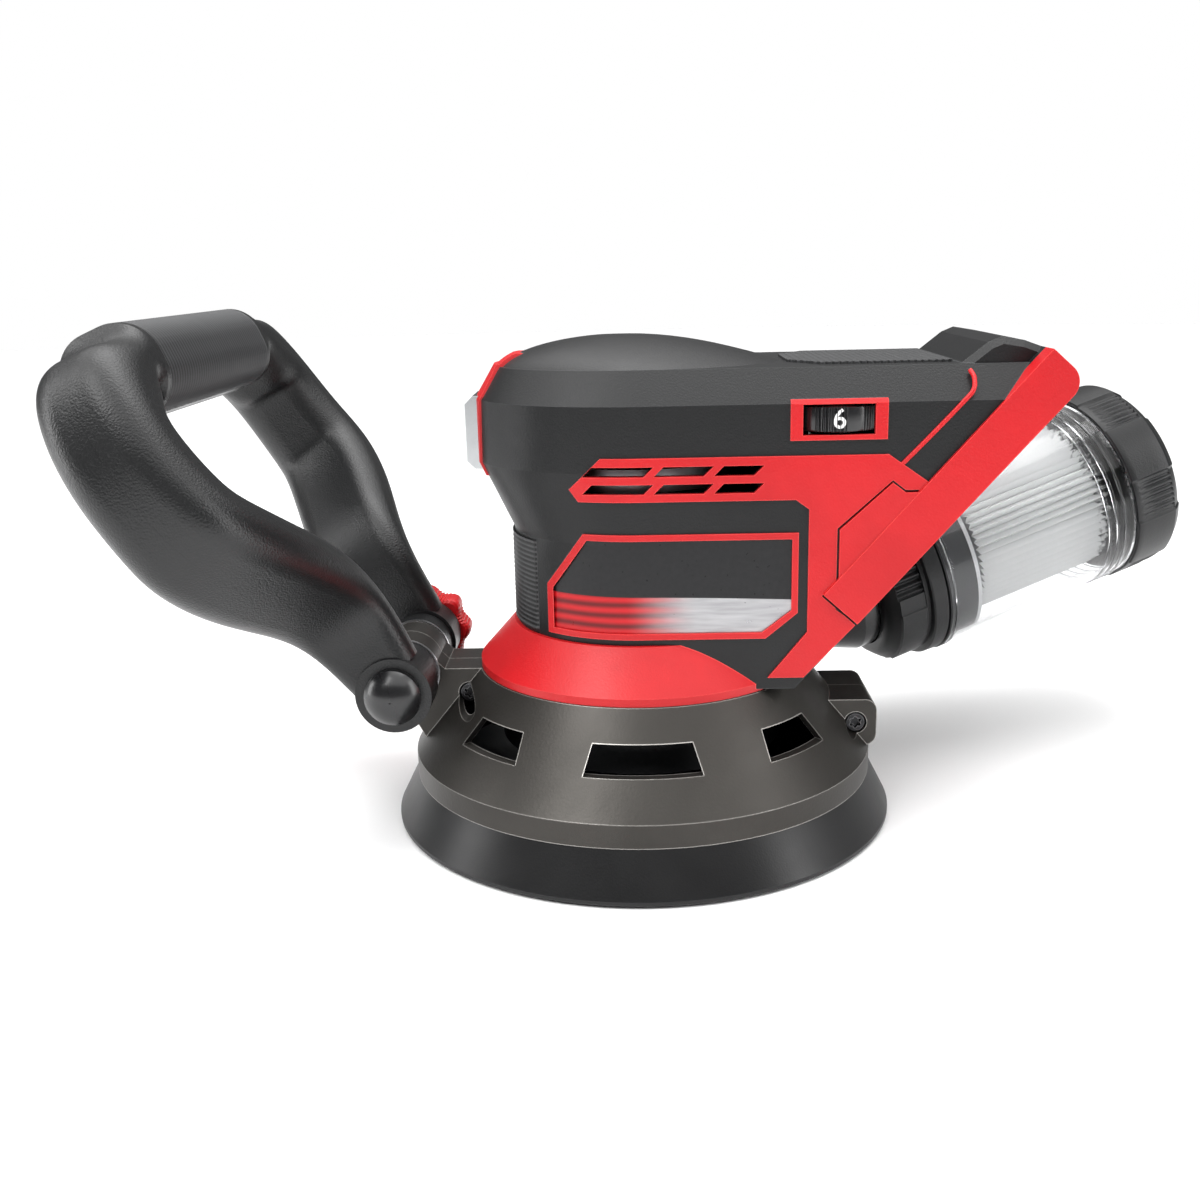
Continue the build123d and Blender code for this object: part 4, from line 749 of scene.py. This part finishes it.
def make_knob():
    """The clamp knob: eight lobes with fine ribs between them."""
    low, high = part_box("clamp_knob")
    centre = Vector(((low[0] + high[0]) / 2, low[1], (low[2] + high[2]) / 2))
    outer = (high[2] - low[2]) / 2
    depth = high[1] - low[1]
    place = axis_place(centre, (0, 1, 0))

    def skin(radius, height, angle):
        if radius < outer * 0.72:
            return radius
        between = 0.5 - 0.5 * cos(KNOB_LOBES * angle)
        ribs = 0.5 + 0.5 * cos(angle * KNOB_RIBS)
        scale = radius / outer
        return radius - scale * between * (KNOB_LOBE_DEPTH + KNOB_RIB_DEPTH * ribs)

    profile = [(5.2 * MM, 0.2 * MM), (outer - 1.6 * MM, 0.2 * MM), (outer - 0.5 * MM, 0.9 * MM),
               (outer, 2.2 * MM)]
    profile += [(outer - 0.12 * MM * k, h) for k, h in enumerate(steps(3.5 * MM, depth - 4 * MM, 4))]
    domed_end = ((1.0, 2.4), (2.4, 1.0), (4.4, 0.3), (6.5, 0.1))
    profile += [(outer - inset * MM, depth - back * MM) for inset, back in domed_end]
    profile += [(4 * MM, depth - 0.1 * MM)]
    build = bmesh.new()
    rings = add_lathe(build, place, profile, 576, skin)
    cap_ring(build, rings[-1])
    cap_ring(build, rings[0])
    piece = new_piece("clamp_knob_moulded", build, RED, "clamp_knob", 30.0)
    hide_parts("clamp_knob")


def add_star_screw(build, place, head_r, head_t, shank_r, length):
    """Add a screw whose head, with a six-lobed socket, looks along the place's +Z. Its top is at height 0."""
    def star(radius, height, angle):
        return radius * (0.84 + 0.16 * cos(6 * angle)) if radius < head_r * 0.62 else radius

    socket = 0.56 * head_r
    profile = [(socket * 0.9, -0.54 * head_t), (socket, -0.05 * head_t), (socket + 0.12 * MM, 0),
               (head_r * 0.80, 0), (head_r * 0.95, -0.12 * head_t), (head_r, -0.34 * head_t),
               (head_r, -head_t), (shank_r, -head_t), (shank_r, -length)]
    rings = add_lathe(build, place, profile, 72, star)
    cap_ring(build, rings[0])
    cap_ring(build, rings[-1])


CLAMP_HEAD_R, CLAMP_HEAD_T, CLAMP_SHANK_R = 3.6 * MM, 3.0 * MM, 2.0 * MM
FRONT_CLAMP_Y = -11.5 * MM      # the face of the front screw's head


def make_shroud_screws():
    """The two screws that clamp the shroud's halves together."""
    low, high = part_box("shroud_screws")
    places = (
        ((low[0] + CLAMP_HEAD_R, FRONT_CLAMP_Y, high[2] - CLAMP_HEAD_R), 23.2 * MM),
        ((high[0] - CLAMP_HEAD_R, low[1], low[2] + CLAMP_HEAD_R), 31.8 * MM),
    )
    build = bmesh.new()
    for place, length in places:
        add_star_screw(build, axis_place(place, (0, -1, 0)), CLAMP_HEAD_R, CLAMP_HEAD_T, CLAMP_SHANK_R,
                       length)
    piece = new_piece("shroud_star_screws", build, SCREW, "tool", 30.0)
    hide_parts("shroud_screws")


# ---------------------------------------------------------------- housing lines
ACCENT_R = 0.7 * MM
ACCENT_LINE = ((75.6, 41.0, 118.9), (86.0, 41.0, 129.6), (95.2, 41.0, 139.4), (98.2, 40.6, 142.9),
               (98.9, 38.2, 146.2), (98.2, 35.8, 148.3))      # mm


def smooth_line(points, per_span=8):
    """A Catmull-Rom curve through points, as closer points along it."""
    out = []
    for k in range(len(points) - 1):
        a, b, c, d = (points[min(max(j, 0), len(points) - 1)] for j in range(k - 1, k + 3))
        for j in range(per_span):
            t = j / per_span
            out.append(0.5 * (2 * b + (c - a) * t + (2 * a - 5 * b + 4 * c - d) * t * t
                              + (3 * b - a - 3 * c + d) * t ** 3))
    return out + [points[-1]]


def make_accent():
    """The red line between the housing and the dock, on both sides."""
    for side, name in ((-1, "dock_accent_near"), (1, "dock_accent_far")):
        points = [Vector((x, side * y, z)) * MM for x, y, z in ACCENT_LINE]
        build = bmesh.new()
        add_tube(build, smooth_line(points), ACCENT_R, 10)
        new_piece(name, build, RED, "tool", 60.0)


# ---------------------------------------------------------------- studio
FLOOR_R = 3.2
FLOOR_DROP = 0.2 * MM       # keeps the floor just under the pad's face
WORLD_LIGHT = 0.16          # how bright the surroundings are, next to the white that the camera sees


def make_studio():
    """A pale round floor under a broad overhead bank, and soft lights near the tool."""
    build = bmesh.new()
    rings = add_lathe(build, Matrix.Translation((0, 0, -FLOOR_DROP)), [(FLOOR_R, 0.0), (1.0, 0.0)], 96)
    cap_ring(build, rings[-1])
    mesh = bpy.data.meshes.new("studio_floor")
    build.to_mesh(mesh)
    build.free()
    floor = bpy.data.objects.new("studio_floor", mesh)
    bpy.context.scene.collection.objects.link(floor)
    material, tree, shader = bare_material("pale_floor")
    patches = placed(tree, HANDLING, Scale=1.5).outputs["Patches"]
    pale = mix_colour(tree, patches, (0.90, 0.90, 0.90), (0.88, 0.88, 0.885))
    tree.links.new(pale, shader.inputs["Base Color"])
    shader.inputs["Roughness"].default_value = 0.7
    shader.inputs["Specular IOR Level"].default_value = 0.1
    mesh.materials.append(material)

    world = bpy.data.worlds.new("studio")
    world.use_nodes = True
    tree = world.node_tree
    backdrop = tree.nodes["Background"]
    backdrop.inputs[0].default_value = (1.0, 1.0, 1.0, 1.0)
    seen = node(tree, "ShaderNodeLightPath")
    extra = maths(tree, "MULTIPLY", seen.outputs["Is Camera Ray"], 1.0 - WORLD_LIGHT)
    tree.links.new(maths(tree, "ADD", WORLD_LIGHT, extra), backdrop.inputs[1])
    bpy.context.scene.world = world
    soft_light("overhead_bank", (0.0, 0.0, 5.0), (0.0, 0.001, 0.0), 12.0, 12.0, 820.0)
    soft_light("key_softbox", (-0.50, -0.55, 0.95), (0.0, 0.0, 0.09), 0.5, 0.5, 4.5)
    soft_light("top_softbox", (0.05, 0.15, 1.05), (0.0, 0.0, 0.08), 0.9, 0.5, 6.0)
    soft_light("right_strip", (0.85, -0.30, 0.35), (0.05, 0.0, 0.07), 0.25, 0.8, 4.0)
    soft_light("left_strip", (-0.85, -0.10, 0.30), (-0.08, 0.0, 0.08), 0.2, 0.8, 3.2)
    bpy.context.scene.view_settings.view_transform = "Standard"


def soft_light(name, place, target, width, height, power):
    """A rectangular soft light that looks at a target."""
    lamp = bpy.data.lights.new(name, "AREA")
    lamp.shape = "RECTANGLE"
    lamp.size = width
    lamp.size_y = height
    lamp.energy = power
    obj = bpy.data.objects.new(name, lamp)
    bpy.context.scene.collection.objects.link(obj)
    obj.location = place
    obj.rotation_euler = (Vector(target) - Vector(place)).to_track_quat("-Z", "Y").to_euler()


def make_camera():
    """The camera: a little above the tool and nearly square to its near side."""
    data = bpy.data.cameras.new("camera")
    data.lens = 39.0
    data.sensor_width = 36.0
    data.clip_start = 0.01
    data.clip_end = 50.0
    camera = bpy.data.objects.new("camera", data)
    bpy.context.scene.collection.objects.link(camera)
    azimuth, elevation, roll, distance = radians(1.6), radians(14.6), radians(-1.33), 0.440
    aim = Vector((-13.4 * MM, 0.0, 70.8 * MM))
    away = Vector((sin(azimuth) * cos(elevation), -cos(azimuth) * cos(elevation), sin(elevation)))
    camera.location = aim + away * distance
    look = (-away).to_track_quat("-Z", "Y")
    camera.rotation_euler = (look.to_matrix() @ Matrix.Rotation(roll, 3, "Z")).to_euler()
    bpy.context.scene.camera = camera


make_camera()
make_studio()
make_grips()
make_dial()
make_end_cap()
make_coupling()
make_filter()
make_tube_rings()
make_knob()
make_shroud_screws()
make_accent()
